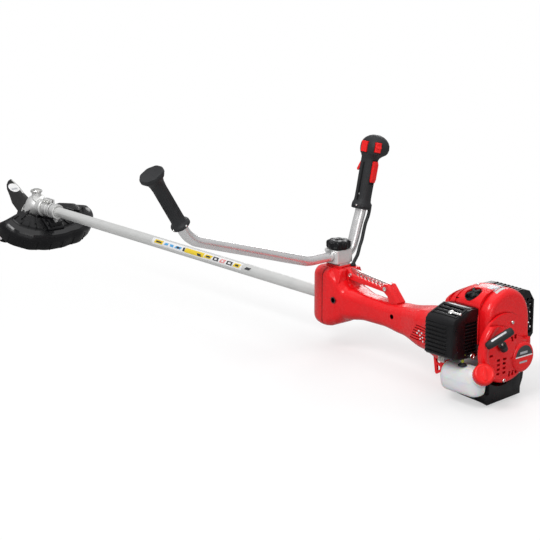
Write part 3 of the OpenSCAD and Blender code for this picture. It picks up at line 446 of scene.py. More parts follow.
def joined(*parts):
    """Several bmeshes as one."""
    whole = bmesh.new()
    temp = bpy.data.meshes.new("joined")
    for bm in parts:
        bm.to_mesh(temp)
        whole.from_mesh(temp)
        bm.free()
    bpy.data.meshes.remove(temp)
    return whole


def moved(bm, shift=(0, 0, 0), turn=None):
    bm.transform(Matrix.Translation(shift) @ (turn.to_4x4() if turn else Matrix.Identity(4)))
    return bm


def softened(node_name, name, voxel, mat, rounds=3):
    """Copy of a CAD node with its hard edges rounded over, standing for that node."""
    source = frame["nodes"][node_name]
    obj = bpy.data.objects.new(name, source.data.copy())
    bpy.context.scene.collection.objects.link(obj)
    remesh = obj.modifiers.new("voxels", "REMESH")
    remesh.mode = "VOXEL"
    remesh.voxel_size = voxel * MM
    relax = obj.modifiers.new("relax", "SMOOTH")
    relax.factor = 0.5
    relax.iterations = rounds
    bake(obj)
    obj.data.materials.clear()
    obj.data.materials.append(mat)
    shade(obj, 180)
    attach(obj, source["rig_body"])
    stands_for(obj, node_name)


def stands_for(obj, *nodes):
    """The piece replaces the nodes, which are hidden."""
    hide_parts(*nodes)


# ---------- cutting head ----------

KNIFE_Z = -48.0
KNIFE_R = 152.0
VALLEY_R = 43.0
LEAD = 178.0


def knife_outline():
    tooth = [(0.42, -30), (0.62, -23), (0.8, -20), (0.93, -15.5), (1.0, -10.5), (1.0, -7), (0.965, 3),
        (0.89, 13), (0.78, 20), (0.62, 24), (0.42, 31)]
    points = []
    for k in range(3):
        turn = math.radians(LEAD + 120 * k)
        c, s = math.cos(turn), math.sin(turn)
        for share, side in tooth:
            x = share * KNIFE_R
            points.append((x * c - side * s, x * s + side * c))
        for step in (-0.32, 0.0, 0.32):
            a = turn + math.radians(60) + step
            points.append((VALLEY_R * math.cos(a), VALLEY_R * math.sin(a)))
    return points


def tooth_edges():
    """Ground cutting bevels along the leading side of each tooth."""
    shoulder = KNIFE_R * 0.93
    parts = []
    for k in range(3):
        bm = prism([(92, -22.6), (shoulder - 1, -16.0), (KNIFE_R - 1.6, -10.4), (KNIFE_R - 5, -8.4),
            (shoulder - 5, -12), (94, -17.6)], "z", KNIFE_Z - 1.62, KNIFE_Z + 1.62)
        parts.append(moved(bm, turn=spin(LEAD + 120 * k)))
    return joined(*parts)


knife = finish("Knife_Blade", prism(knife_outline(), "z", KNIFE_Z - 1.5, KNIFE_Z + 1.5), KNIFE, HEAD,
    "cutter", bevel=0.5, segments=2, angle=50, stands="knife")
cut(knife, [lathe([(KNIFE_Z - 4, 12.7), (KNIFE_Z + 4, 12.7)])], 30, HEAD)
finish("Knife_Ground_Edges", tooth_edges(), BARE, HEAD, "cutter", bevel=0.3, segments=1)
lead = math.radians(LEAD)
finish("Knife_Label_Disc", lathe([(KNIFE_Z + 1.45, 16.6), (KNIFE_Z + 1.75, 16.6), (KNIFE_Z + 1.8, 16.0)],
    centre=(118 * math.cos(lead), 118 * math.sin(lead) + 2, 0), count=48), WHITE_INK, HEAD, "cutter")
finish("Knife_Label_Mark", prism(
    [(113 * math.cos(lead) + x, 119 * math.sin(lead) + y) for x, y in ((-4, -9), (3, -9), (3, 11), (-4, 11))],
    "z", KNIFE_Z + 1.7, KNIFE_Z + 1.95), SILVER_INK, HEAD, "cutter")

softened("gear_case", "Gear_Case_Casting", 0.8, CAST, rounds=5)
softened("guard_bracket", "Guard_Bracket_Clamp", 0.8, CAST, rounds=3)
finish("Guard_Bracket_Boot", joined(
    prism([(63, 10), (111, 10), (110, 19), (101, 21), (66, 21)], "y", -27, 27),
    prism([(76, 20), (104, 20), (100, 31), (80, 31)], "y", -20, 20)), BLACK, HEAD, bevel=2.4)


def head_castings():
    """Flange, neck and stiffening ribs of the gear case."""
    flange = lathe([(-33.6, 33.4), (-33.2, 34), (-29.4, 34), (-28.6, 33)], count=72,
        wave=lambda a, h: 1 + 0.035 * max(0, math.cos(4 * a)))
    neck = lathe([(4, 20.4), (7, 22.4), (12, 22.4), (15, 20.4)], count=64)
    ribs = [moved(block((14, -1.4, -28), (33.4, 1.4, -8)), turn=spin(a)) for a in (60, 120, 180, 240, 300)]
    return joined(flange, neck, *ribs)


finish("Gear_Case_Flange", head_castings(), CAST, HEAD, bevel=0.7, segments=2)
collars = ([(36, 23.2), (38, 24.6), (44, 24.6), (46, 23)], [(66, 20), (67, 20.8), (70, 20.8), (71, 20)],
    [(80, 20.2), (81, 21.2), (84, 21.2), (85, 20.2)])
finish("Gear_Case_Collars", joined(*[lathe(profile, "x", (GEAR_X, 0, 0)) for profile in collars]), CAST,
    bevel=0.4, segments=2)
bolts = [moved(lathe([(0, 5.6), (1.2, 5.6), (1.3, 4.6), (4.4, 4.6), (4.8, 4.0)], count=32),
               (27.5 * math.cos(a), 27.5 * math.sin(a), -28.9))
         for a in (math.radians(45 + 90 * k) for k in range(4))]
finish("Gear_Case_Flange_Bolts", joined(*bolts), ZINC, HEAD)
finish("Grease_Plug_Ring", lathe([(38.6, 15.6), (40, 16.4), (43, 16.4), (45.2, 15.2), (45.4, 11.2)],
    centre=(GEAR_X + 2, 0, 0), wave=lambda a, h: 1 + 0.02 * math.cos(12 * a)), ZINC, bevel=0.4, segments=2)

GUARD_FROM, GUARD_TO = -84, 75
GUARD_SWELL = [(-84, 0.86), (-75, 0.925), (-66, 0.965), (-56, 0.985), (-38, 0.945), (-20, 0.885),
    (0, 0.865), (16, 0.88), (36, 0.97), (52, 1.03), (66, 1.06), (75, 1.03)]
HUB_R = 31.6
SKIRT_R = 160
SKIRT_Z = -34


def guard_point(r, a, z):
    """Point of the guard: the bowl is wider to its sides than it is deep."""
    for (a0, k0), (a1, k1) in zip(GUARD_SWELL, GUARD_SWELL[1:]):
        if a <= a1:
            t = max(0.0, (a - a0) / (a1 - a0))
            break
    swell = k0 + (k1 - k0) * t * t * (3 - 2 * t)
    out = HUB_R + (r - HUB_R) * ((SKIRT_R * swell - HUB_R) / (SKIRT_R - HUB_R) if r > HUB_R else 1)
    return (out * math.cos(math.radians(a)), out * math.sin(math.radians(a)), z)


def guard_shell():
    """Bowl swept round the knife: skirt, ledge, stepped deck and hub strap."""
    outer = [(SKIRT_R, SKIRT_Z), (160.8, -31), (160.4, -8), (159, -1), (155.5, 4.8), (151, 8.6),
        (140, 9.8), (124, 10.2), (119.5, 10.6), (116, 13.4), (112, 14.3), (92, 14.6), (70, 14.3), (62, 10),
        (52, 1), (44, -7), (38, -8), (HUB_R, -8)]
    inner = [(HUB_R, -19.8), (39, -19.8), (45, -11), (53, -2.4), (63, 6.8), (70, 11.2), (92, 11.4),
        (110.6, 11.2), (114.6, 10), (118.6, 7.4), (124, 6.9), (140, 6.5), (150, 5.4), (153.6, 2.6),
        (156.4, -3), (157.2, -31), (157.2, SKIRT_Z)]
    rings = []
    steps = 84
    for i in range(steps + 1):
        a = GUARD_FROM + (GUARD_TO - GUARD_FROM) * i / steps
        drop = 6.0 * max(0.0, 1 - min(i, steps - i) / 3) ** 2
        lean = 0.27 * max(0.0, 1 - i / 14)
        rings.append([guard_point(r - (drop if r > 60 else 0), a + lean * (z - SKIRT_Z), z)
                      for r, z in outer + inner])
    return loft(rings)


def guard_bar(a, r0, r1, half, z0, z1):
    """Rib lying along a radius of the guard."""
    start, end = Vector(guard_point(r0, a, z0)), Vector(guard_point(r1, a, z0))
    run = (end - start).length
    return moved(block((0, -half, 0), (run, half, z1 - z0)), start, spin(a))


finish("Debris_Guard_Bowl", guard_shell(), BLACK, HEAD, smooth=28, stands="guard")
ledge = [[guard_point(r, -68 + 2 * i, z) for r, z in
          ((126, 10.1), (127.5, 13.4), (146, 12.6), (150, 9.0))] for i in range(70)]
finish("Guard_Glossy_Ledge", loft(ledge), GLOSS_BLACK, HEAD)
finish("Guard_Deck_Ribs", joined(*[guard_bar(-66 + 11.5 * k, 96, 117, 1.1, 11.5, 18) for k in range(12)],
    *[guard_bar(a, 52, 100, 1.6, 4, 19) for a in (-58, -34, 36, 58)]), BLACK, HEAD, bevel=0.6, segments=2)
finish("Guard_Skirt_Ribs",
    joined(*[guard_bar(-74 + 16 * k, 157.6, 162.4, 1.4, -33.4, -6) for k in range(9)]), BLACK, HEAD,
    bevel=0.7, segments=2)


# ---------- main tube ----------

def decal(name, x0, x1, low, high, mat, r=14.12, slant=0.0):
    """Thin label on the tube between two angles about the shaft, in degrees from up towards -Y."""
    rings = []
    steps, thick = 12, 0.12
    corners = ((x0, r), (x0, r + thick), (x1, r + thick), (x1, r))
    for i in range(steps + 1):
        a = math.radians(low + (high - low) * i / steps)
        rise = slant * (i / steps - 0.5)
        rings.append([(x + rise, -k * math.sin(a), k * math.cos(a)) for x, k in corners])
    return finish(name, loft(rings), mat)


LABELS = [(-1082, -1048, YELLOW_INK), (-1040, -1026, SKY_INK), (-1018, -1004, SKY_INK),
    (-996, -972, SKY_INK), (-965, -957, DARK_INK), (-956, -880, YELLOW_INK), (-876, -849, YELLOW_INK),
    (-843, -822, DARK_INK), (-815, -796, PINK_INK), (-790, -768, DARK_INK), (-762, -738, YELLOW_INK),
    (-718, -700, DARK_INK)]
decal("Tube_Label_White", -1094, -732, 22, 94, WHITE_INK)
for count, (start, end, ink) in enumerate(LABELS):
    tall = end - start > 50
    slim = ink is SKY_INK or end > -701
    decal("Tube_Label_Block_%02d" % count, start, end, 34 if tall else 38 + 8 * slim,
        84 if tall else 78 - 6 * slim, ink, r=14.3, slant=rng.uniform(-7, 7))
    if end - start > 18 and not tall:
        decal("Tube_Label_Core_%02d" % count, start + 6, end - 6, 50, 68,
            WHITE_INK if ink is DARK_INK or ink is PINK_INK else DARK_INK, r=14.45)
decal("Tube_Label_Patch", -905, -890, 56, 80, DARK_INK, r=14.45, slant=5)
finish("Tube_Front_Collar", lathe([(-1566, 14.3), (-1565.6, 15.2), (-1560, 15.2), (-1559, 14.3)], "x"),
    RUBBER)


# ---------- shaft housing ----------

STATIONS = [(-399, 76, -62, 47, 20), (-386, 76, -60, 47, 20), (-368, 68, -52, 46, 21),
    (-340, 38, -36, 40, 23), (-290, 30, -30, 29, 20), (-225, 27, -29, 28, 19), (-165, 31, -34, 31, 19),
    (-90, 42, -47, 46, 26), (-14, 62, -62, 62, 38)]


def housing_at(x):
    """Top, bottom, half width and corner radius of the shaft housing at a station."""
    for a, b in zip(STATIONS, STATIONS[1:]):
        if x <= b[0]:
            t = (x - a[0]) / (b[0] - a[0])
            e = t * t * (3 - 2 * t)
            return [p + (q - p) * (0.35 * t + 0.65 * e) for p, q in zip(a[1:], b[1:])]
    return STATIONS[-1][1:]


def housing_ring(x):
    top, bottom, half, r = housing_at(x)
    return [(x, y, z) for y, z in rounded(half, (top - bottom) / 2, r, 7, (0, (top + bottom) / 2))]


def half_of(bm, side):
    """Keeps the part of a bmesh on one side of the centre plane."""
    geometry = bm.verts[:] + bm.edges[:] + bm.faces[:]
    bmesh.ops.bisect_plane(bm, geom=geometry, plane_co=(0, side * 0.15, 0), plane_no=(0, -side, 0),
        clear_outer=True)
    edges = [e for e in bm.edges if len(e.link_faces) == 1]
    bmesh.ops.holes_fill(bm, edges=edges, sides=0)
    return bm


LOOP_OUTER = [(-366, 30), (-366, 79), (-352, 79), (-340, 67.5), (-240, 58), (-232, 68), (-221, 66.5),
    (-208, 52), (-190, 33), (-190, 14), (-366, 14)]
LOOP_HOLE = [(-350, 57), (-348, 46), (-338, 38), (-305, 31), (-262, 28.5), (-226, 28.5), (-216, 31),
    (-221, 42), (-233, 49.5)]


POCKETS = ((-363, 30, 9), (-189, 24, 5))


def side_block(side, x0, x1, near, far, z0, z1):
    """Block on one side of the centre plane, between two distances from it."""
    return block((x0, min(side * near, side * far), z0), (x1, max(side * near, side * far), z1))


def shell_cutters(side):
    """Grille slots, the two slots at the clamp and the two screw pockets of a shell."""
    tools = [side_block(side, -98 - 4.6 * i, -30, 30, 70, 8.8 - 6.4 * i, 11 - 6.4 * i) for i in range(6)]
    tools.append(side_block(side, -350, -331, 26, 60, -47, -43.6))
    tools.append(side_block(side, -345, -336, 26, 60, -56, -53))
    for x, seat, z in POCKETS:
        tools.append(
            lathe([(0, 5.6), (60, 5.6)], "y", count=32, centre=(x, seat if side > 0 else -seat - 60, z)))
    return tools


for side, word, node_name in ((-1, "Left", "shell_left"), (1, "Right", "shell_right")):
    rings = [housing_ring(-399 + 5 * i) for i in range(78)]
    shell = finish("Shaft_Cover_" + word, half_of(loft(rings), side), RED, smooth=32, stands=node_name)
    cut(shell, shell_cutters(side), 32)
    loop = finish("Loop_Handle_" + word,
        prism(LOOP_OUTER, "y", min(side * 0.15, side * 13), max(side * 0.15, side * 13)), RED)
    plate_slot = prism([(-352, 83), (-352, 56.5), (-220, 44.5), (-220, 71)], "y", -2.1, 2.1)
    cut(loop, [prism(LOOP_HOLE, "y", -30, 30), plate_slot], 40)
    round_edges(loop, 3.2, 4, 50)
    shade(loop, 40)

pocket_rims = [lathe([(0.0, 7.4), (0.9, 7.2), (1.0, 5.7), (0.0, 5.7)], "y", centre=c, count=40)
               for c in ((-363, -47.4, 9), (-189, -29.4, 5))]
finish("Pocket_Rims", joined(*pocket_rims), DARK_INK)
pin_heads = []
for x, z in ((-87, -1), (-77, -4), (-93, -7), (-83, -10), (-73, -13), (-82, -18), (-72, -21)):
    seat = -housing_at(x)[2]
    pin_heads.append(lathe([(seat + 4, 1.0), (seat + 1.4, 2.2), (seat - 0.2, 2.1), (seat - 0.5, 0.6)], "y",
        (x, 0, z), 20))
finish("Vent_Pin_Heads", joined(*pin_heads), WHITE_INK)


CAP_X = -401.3


def front_cap_form():
    """Domed nose: its section shrinks along a quarter turn."""
    rings = []
    for i in range(15):
        a = math.radians(84 * i / 14)
        s = math.cos(a) ** 0.62
        x = CAP_X - 49.6 * math.sin(a)
        half = max(2.0, 47 * s)
        outline = rounded(half, 69 - 13 * (1 - s), min(20, half * 0.9), 7, (0, 7))
        rings.append([(x, y, z) for y, z in outline])
    return loft(rings)


cap_piece = finish("Front_Cap_Moulding", front_cap_form(), RED, smooth=32, stands="front_cap")
cut(cap_piece, [lathe([(-470, 14.9), (-390, 14.9)], "x"), block((-426, -16, 20), (-380, 16, 90))], 32)
seam_ring = [[(x, y, z) for y, z in rounded(46.2, 68.2, 19, 7, (0, 7))] for x in (-401.2, -399.1)]
seam = finish("Front_Seam_Rubber", loft(seam_ring), RUBBER, smooth=30)
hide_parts("front_seal")
finish("Tube_Boot", lathe([(-456, 14.2), (-455.4, 17), (-452, 18.4), (-446, 18.8), (-430, 18)], "x"),
    RUBBER)
COLLAR = [(10, 24, 46.8, 8, 19), (45, 24, 43.4, 7, 19), (64, 26, 37, 6, 17), (74, 32, 32, 6, 12),
    (77.4, 34, 30.4, 6, 10)]
collar_rings = [[(x, y, z) for x, y in rounded(long, wide, r, 6, (BAR_X + mid, 0))]
                for z, long, wide, r, mid in COLLAR]
finish("Collar_Moulding",
    joined(loft(collar_rings), prism(rounded(26, 19, 8, 6, (BAR_X + 1, 0)), "z", 74, 81.5)), RED,
    bevel=1.4)
finish("Cable_Grommet",
    lathe([(74, 5.4), (79.5, 6.8), (82, 6.6), (83.5, 4.6)], centre=(BAR_X + 28, 20, 0), count=40), RUBBER)


# ---------- engine covers ----------

def ray_radius(polygon, centre, angle):
    """Distance from a centre to a polygon's outline along an angle."""
    dx, dy = math.cos(angle), math.sin(angle)
    best = 0.0
    for i, p in enumerate(polygon):
        q = polygon[(i + 1) % len(polygon)]
        ax, ay = p[0] - centre[0], p[1] - centre[1]
        ex, ey = q[0] - p[0], q[1] - p[1]
        det = ex * dy - ey * dx
        if abs(det) < 1e-9:
            continue
        t = (ex * ay - ey * ax) / det
        u = (dx * ay - dy * ax) / det
        if t > 0 and -1e-6 <= u <= 1 + 1e-6:
            best = max(best, t)
    return best


def softened_outline(polygon, centre, circle_r=0.0, count=96, passes=3, left=-200.0):
    """Outline sampled by angle, joined with a circle about the shaft axis, cut flat and smoothed."""
    radii = []
    for i in range(count):
        a = 2 * math.pi * i / count
        r = ray_radius(polygon, centre, a)
        if circle_r:
            b = centre[0] * math.cos(a) + centre[1] * math.sin(a)
            c = centre[0] ** 2 + centre[1] ** 2 - circle_r ** 2
            r = max(r, -b + math.sqrt(max(0.0, b * b - c)))
        if math.cos(a) < -0.05:
            r = min(r, (left - centre[0]) / math.cos(a))
        radii.append(r)
    for _ in range(passes):
        radii = [(radii[i - 1] + 2 * radii[i] + radii[(i + 1) % count]) / 4 for i in range(count)]
    return [(centre[0] + r * math.cos(2 * math.pi * i / count),
             centre[1] + r * math.sin(2 * math.pi * i / count)) for i, r in enumerate(radii)]


def scaled_ring(x, points, centre, k):
    return [(x, centre[0] + (y - centre[0]) * k, centre[1] + (z - centre[1]) * k) for y, z in points]


VOLUTE = [(-46, 0), (-46, 68), (-38, 90), (-22, 107), (0, 118), (20, 122), (42, 119), (62, 109), (78, 91),
    (86, 68), (88, 44), (88, 0)]
VOLUTE_MID = (20.0, 20.0)
volute_outline = softened_outline(VOLUTE, VOLUTE_MID, 80, left=-42.0)
volute_rings = [scaled_ring(x, volute_outline, VOLUTE_MID, k) for x, k in
                ((83.5, 0.93), (83.6, 0.965), (84.8, 0.988), (86.5, 0.997), (88.5, 1.0), (94, 1.0),
                 (99, 0.996), (103, 0.984), (106.5, 0.965), (109.5, 0.938), (111.5, 0.905),
                 (112.2, 0.87), (112.4, 0.80))]
volute = finish("Engine_Cover_Volute", loft(volute_rings), RED, smooth=50, stands="engine_cover")
cut(volute, [lathe([(75, 43), (109, 43)], "x")], 45)

HOOD = [(-43.2, 22), (-43.2, 82), (-37.5, 98), (-24, 110.5), (-2, 117.5), (20, 121), (38, 118), (48, 108),
    (50, 84), (48, 22)]
HOOD_MID = (3.0, 60.0)
hood_outline = softened_outline(HOOD, HOOD_MID, passes=2)


def hood_ring(x, top, side):
    low = 30 if x > 14 else 46 if x > -3.1 else 69
    return [(x, HOOD_MID[0] + (y - HOOD_MID[0]) * side, low + (z - 22) * (top - low) / (121 - 22))
            for y, z in hood_outline]


hood_rings = [hood_ring(x, top, side) for x, top, side in
              ((-20.2, 78, 0.70), (-20, 82, 0.80), (-18.6, 88, 0.88), (-15.4, 95, 0.93), (-10, 101, 0.965),
               (-3.2, 106, 0.98), (-3, 106.1, 0.98), (4, 110, 0.99), (13.9, 114.6, 0.995),
               (14.1, 114.7, 0.995), (24, 118.6, 1.0), (34, 120.6, 1.0), (46, 122, 1.0),
               (60, 122.8, 1.0), (74, 123, 1.0), (85.5, 123, 1.0))]
hood = finish("Engine_Cover_Hood", loft(hood_rings), RED, smooth=50, stands="engine_cover")
vents = [block((-20, -26 + i * 12, 52), (3, -20 + i * 12, 67)) for i in range(5)]
RECESS_AT = (50, -14.7, 84)
recess_turn = spin(20, "X")
cut(hood, [*vents, moved(lathe([(0, 19.5), (60, 19.5)]), RECESS_AT, recess_turn),
    block((8, -38, 20), (82, 44, 96)), block((-1, -34, 20), (9, 38, 70))], 45)
finish("Plug_Recess_Liner", moved(
    lathe([(10, 1), (10, 19.3), (23, 19.4), (23, 18.4), (11.5, 18.2), (11.5, 1)]), RECESS_AT, recess_turn),
    RUBBER, smooth=50)
boot_parts = [lathe([(20, 9.4), (30, 9.8), (34, 9.6), (36.6, 8.2), (37.2, 6)], count=40),
    moved(lathe([(0, 5.2), (12, 5.2), (13.4, 4)], "x", count=28), (0, 0, 29))]
for h in (24, 27, 30, 33):
    boot_parts.append(lathe([(h, 9.4), (h + 0.5, 10.4), (h + 1.1, 10.4), (h + 1.6, 9.4)], count=40))
for wing in (40, -50):
    boot_parts.append(moved(block((-14, -2.6, 31), (14, 2.6, 40)), turn=spin(wing)))
finish("Spark_Plug_Boot", moved(joined(*boot_parts), (48, -2, 77.5), spin(30, "X")), RUBBER, bevel=0.8,
    segments=2, stands="plug_cap")
ridge = []
for a in range(18):
    t = a / 17
    y = -43.2 + 20 * max(0, t - 0.62) ** 1.4 * 2.2
    ridge.append(Vector((84.2 - 3 * t, y, 8 + 92 * t)))
finish("Cover_Ridge", pipe(ridge, lambda t: 2.6 * math.sin(math.pi * (0.08 + 0.84 * t)) ** 0.4, 14), RED,
    smooth=60)


def patch_on(name, mat, corners):
    """Thin label laid on the top of the cover, between four corners given as x and y."""
    steps = 6
    p, q, r, s = corners
    bm = bmesh.new()
    grid = []
    for a in (u / steps for u in range(steps + 1)):
        row = []
        for b in (v / steps for v in range(steps + 1)):
            x, y = ((1 - a) * ((1 - b) * p[k] + b * s[k]) + a * ((1 - b) * q[k] + b * r[k]) for k in (0, 1))
            start = DRIVE @ Vector((x, y, 160))
            casts = [cover.ray_cast(start, Vector((0, 0, -1))) for cover in (volute, hood)]
            top = (max(place.z for hit, place, _, _ in casts if hit) - ORIGIN.z) / MM
            row.append(bm.verts.new((x, y, top + 0.05)))
        grid.append(row)
    for near, far in zip(grid, grid[1:]):
        for i in range(steps):
            bm.faces.new((near[i], far[i], far[i + 1], near[i + 1]))
    raised = bmesh.ops.extrude_face_region(bm, geom=bm.faces[:])["geom"]
    bmesh.ops.translate(bm, vec=(0, 0, 0.35), verts=[g for g in raised if isinstance(g, bmesh.types.BMVert)])
    finish(name, bm, mat)


patch_on("Cover_Label_Silver", SILVER_INK, [(66, -2), (90, -2), (88, 18), (64, 18)])
patch_on("Cover_Label_White", PALE_INK, [(92, -4), (100, -6), (98, 24), (90, 24)])
patch_on("Cover_Label_Grey", SILVER_INK, [(68, 22), (88, 22), (86, 34), (66, 34)])


def socket_screw(at, r=4.2, height=2.6, axis="x", sign=1):
    """Domed screw head with a recess, its axis along a frame axis."""
    h = height * sign
    return lathe([(0, r), (h * 0.6, r), (h * 0.95, r * 0.8), (h, r * 0.5), (h * 0.35, r * 0.42)], axis, at,
        28)


cover_screws = [socket_screw((120.2, 22, 52), 4.0, 3.4), socket_screw((33, 8, 119), 3.4, 2.6, "z")]
finish("Cover_Screws", joined(*cover_screws), ZINC)


# ---------- recoil starter ----------

BULGE = (46.0, -26.0)
starter = finish("Starter_Housing_Drum", lathe([(113.2, 73.6), (114, 74.6), (122, 74.6), (126, 74),
    (129, 72.2), (130.8, 69.2), (131.3, 66), (131.2, 62), (130.2, 60.6), (130.0, 57), (131.0, 55.4),
    (131.2, 30), (131.2, 24), (132.6, 22), (133.2, 18), (133.4, 1)], "x", count=128), RED, smooth=45,
    stands="starter_housing")
brow = prism([(-95, 62), (-62, 58), (-20, 53), (3, 46.5), (51, 12), (95, 12), (95, 95), (-95, 95)], "x",
    120, 150)
slots = [block((126, y, z), (140, y + 9, z + 5.4)) for y in (-33, -15) for z in (-52, -42, -32, -22)]
slots += [block((126, 8 + 10.5 * i, 15 + 3.6 * i), (140, 15 + 10.5 * i, 25 + 3.6 * i)) for i in range(4)]
slots.append(block((126, -56, -8), (140, -46, -3)))
slots += [block((126, 4 + 10 * i, -62 + 1.5 * i), (140, 9 + 10 * i, -50)) for i in range(4)]
cut(starter, [*slots, brow], 45)
finish("Starter_Bulge", lathe(
    [(113.4, 33.4), (114, 34), (128, 34), (132, 33), (134.6, 30.4), (135.4, 28), (135.4, 1)], "x",
    (0, BULGE[0], BULGE[1]), 96), RED, smooth=50)


def half_disc(r, low, high, x, centre, steps=40):
    """Part of a disc between two heights, as a thin plate facing rearward."""
    low, high = max(low, -r), min(high, r)
    points = []
    for sign in (1, -1):
        for i in range(steps + 1):
            z = low + (high - low) * (i / steps if sign > 0 else 1 - i / steps)
            points.append((centre[0] + sign * math.sqrt(max(0.0, r * r - z * z)), centre[1] + z))
    return prism(points, "x", x, x + 0.35)


for word, low, high, mat in (("Dark", 4, 26, DARK_INK), ("Stripe", 1, 3.6, WHITE_INK),
                             ("Red", -26, 0.6, SATIN_RED)):
    finish("Starter_Label_" + word, half_disc(26, low, high, 135.3, BULGE), mat)
finish("Starter_Label_Bars", joined(
    prism([(33, -13), (33, -18), (56, -18), (56, -13)], "x", 135.6, 135.85),
    prism([(32, -34), (32, -38), (56, -38), (56, -34)], "x", 135.6, 135.85)), SILVER_INK)
starter_studs = [socket_screw((128, 68 * math.cos(a), 68 * math.sin(a)), 4.4, 4.4)
                 for a in (math.radians(d) for d in (205, 262))]
finish("Starter_Screws", joined(*starter_studs), ZINC)
star = [lathe([(-12, 8.4), (2, 8.6), (5, 8.8), (7.2, 8.4), (7.6, 7), (7.4, 3.4)], count=48)]
for k in range(8):
    star.append(moved(block((4.4, -1.1, 5.6), (8.8, 1.1, 8.4)), turn=spin(45 * k)))
finish("Rope_Guide", joined(*star), RUBBER, PULL)
TOGGLE_TURN = spin(-46.4)
TOGGLE_AT = (0, 0, 38)
toggle_profile = [(-33, 4.2), (-32.2, 6.6), (-29.5, 8.8), (-22, 9.7), (-9, 10), (9, 10), (22, 9.7),
    (29.5, 8.8), (32.2, 6.6), (33, 4.2)]
toggle = lathe(toggle_profile, count=40, wave=lambda a, h: 1 - 0.12 * abs(math.sin(a)) ** 3)
stem = lathe([(-15.5, 5.0), (-13, 6.4), (-5, 6.6), (-2, 7.4)], count=36)
finish("Starter_Pull_Grip",
    joined(moved(toggle, TOGGLE_AT, TOGGLE_TURN @ spin(90, "Y")), moved(stem, TOGGLE_AT)), RUBBER, PULL,
    "pull", smooth=50, stands="starter_handle")
# Painted highlight: a thin silver strip along the top of the pull grip stands in for the light line on the
# grip.
grip_highlight = moved(prism(rounded(19, 2.4, 2.3, 5), "z", 8.6, 10.4), TOGGLE_AT, TOGGLE_TURN)
finish("Starter_Grip_Insert", grip_highlight, SILVER_INK, PULL, "pull", bevel=0.7, segments=2)


# ---------- air cleaner ----------

BOX_X0, BOX_X1 = 6.0, 84.0
CLEANER = [(-121, -8), (-121, 65), (-113.5, 73), (-80, 85.2), (-62, 87.5), (-44.4, 86.5), (-43.9, -17),
    (-98, -17), (-116, -13)]
cleaner = finish("Cleaner_Cover_Box", prism(CLEANER, "x", BOX_X0, BOX_X1), BLACK, stands="cleaner_cover")
TOP_TURN = Matrix.Rotation(math.atan2(20, 54), 3, "X")
window_cuts = [moved(block((0, -4.2, -2.4), (60, 4.2, 6)),
                     (10, -74.5 - 11.3 * (i - 1.2), 87.8 - 4.2 * (i - 1.2)), TOP_TURN) for i in range(3)]
cut(cleaner, [moved(block((-20, -12, -80), (20, 12, 160)), (91.5, -128.5, 0), spin(45)),
    block((79.5, -82, -10), (90, -49, 60)), *window_cuts], 40)
round_edges(cleaner, 2.6, 3, 28)
shade(cleaner, 40)
side_rib = [(BOX_X0 + 1, -119), (BOX_X0 + 1, -124), (67, -124), (81.6, -109.4), (81.6, -104), (71, -118)]
ribs = [prism(side_rib, "z", -7.6 + 8.9 * i, -7.6 + 8.9 * i + 4.6) for i in range(8)]
finish("Cleaner_Side_Ribs", joined(*ribs), BLACK, bevel=1.2)
louvres = [prism([(79.4, z), (84.4, z + 1.2), (84.4, z + 3.2), (79.4, z + 4.0)], "y", -81.8, -49.2)
           for z in (-8 + 7.5 * i for i in range(9))]
finish("Cleaner_Louvres", joined(*louvres), BLACK, bevel=0.6, segments=2)
slats = [moved(block((14, -2.9, -2.2), (74, 2.9, 1.6)), (0, -73 - 10.3 * i, 88.2 - 3.8 * i), TOP_TURN)
         for i in range(4)]
finish("Cleaner_Top_Slats", joined(*slats), GLOSS_BLACK, bevel=1.0)
finish("Cleaner_Top_Gloss", joined(block((10, -66, 86), (78, -46, 88.6)),
    moved(block((75, -26, -1), (81, 16, 1.3)), (0, -84, 84.6), TOP_TURN),
    moved(block((8, -26, -1), (13, 16, 1.3)), (0, -84, 84.6), TOP_TURN)), GLOSS_BLACK, bevel=0.9)
finish("Cleaner_Front_Clip", prism([(-66, 6), (-66, 30), (-70, 34), (-96, 34), (-100, 30), (-100, 6)], "x",
    BOX_X0 - 3.2, BOX_X0 + 0.5), BLACK, bevel=1.2)
lever_parts = [lathe([(0.4, 5.6), (1, 6.2), (3.8, 6.2), (4.8, 5.2), (5.2, 2.6), (4.2, 2.2)], count=40),
    prism(rounded(12.5, 2.8, 2.7, 5, (14, 0)), "z", 1.2, 3.8),
    moved(lathe([(1.4, 3.4), (4.6, 3.6), (5.2, 2.8)], count=28), (25.4, 0, 0))]
LEVER = local_frame(joint_point("choke_turn"), TOP_TURN)
finish("Choke_Lever_Handle", joined(*lever_parts), ZINC, LEVER, "choke", bevel=0.4, segments=2, angle=50,
    stands="choke_lever")
LATCH = local_frame(joint_point("latch_turn"))
latch_profile = [(0.2, 6.4), (1.2, 6.8), (4.2, 6.8), (5.4, 6.2), (5.8, 4), (4.4, 3.4)]
finish("Cleaner_Latch_Knob",
    lathe(latch_profile, "x", count=64, wave=lambda a, h: 1 + 0.03 * math.cos(16 * a)), ZINC, LATCH,
    "latch", smooth=50, stands="cleaner_knob")


# ---------- exhaust side, tank, foot and frame ----------

softened("muffler_guard", "Muffler_Guard_Shell", 1.0, BLACK, rounds=3)
finish("Muffler_Guard_Rim", joined(block((80.5, 52, -11), (84.5, 57, 100)),
    block((80.5, 52, 96), (84.5, 100, 101)), block((80.5, 52, -12), (84.5, 122, -8)),
    block((80.5, 124.5, 2), (84.5, 130, 72)), block((20, 131.2, 38), (70, 134.4, 41)),
    block((20, 131.2, 10), (70, 134.4, 13))), BLACK, bevel=1.2)
finish("Muffler_Guard_Bars",
    joined(*[block((6 + 11 * i, 60, 101.8), (11 + 11 * i, 97, 104.6)) for i in range(7)]), BLACK,
    bevel=1.0)


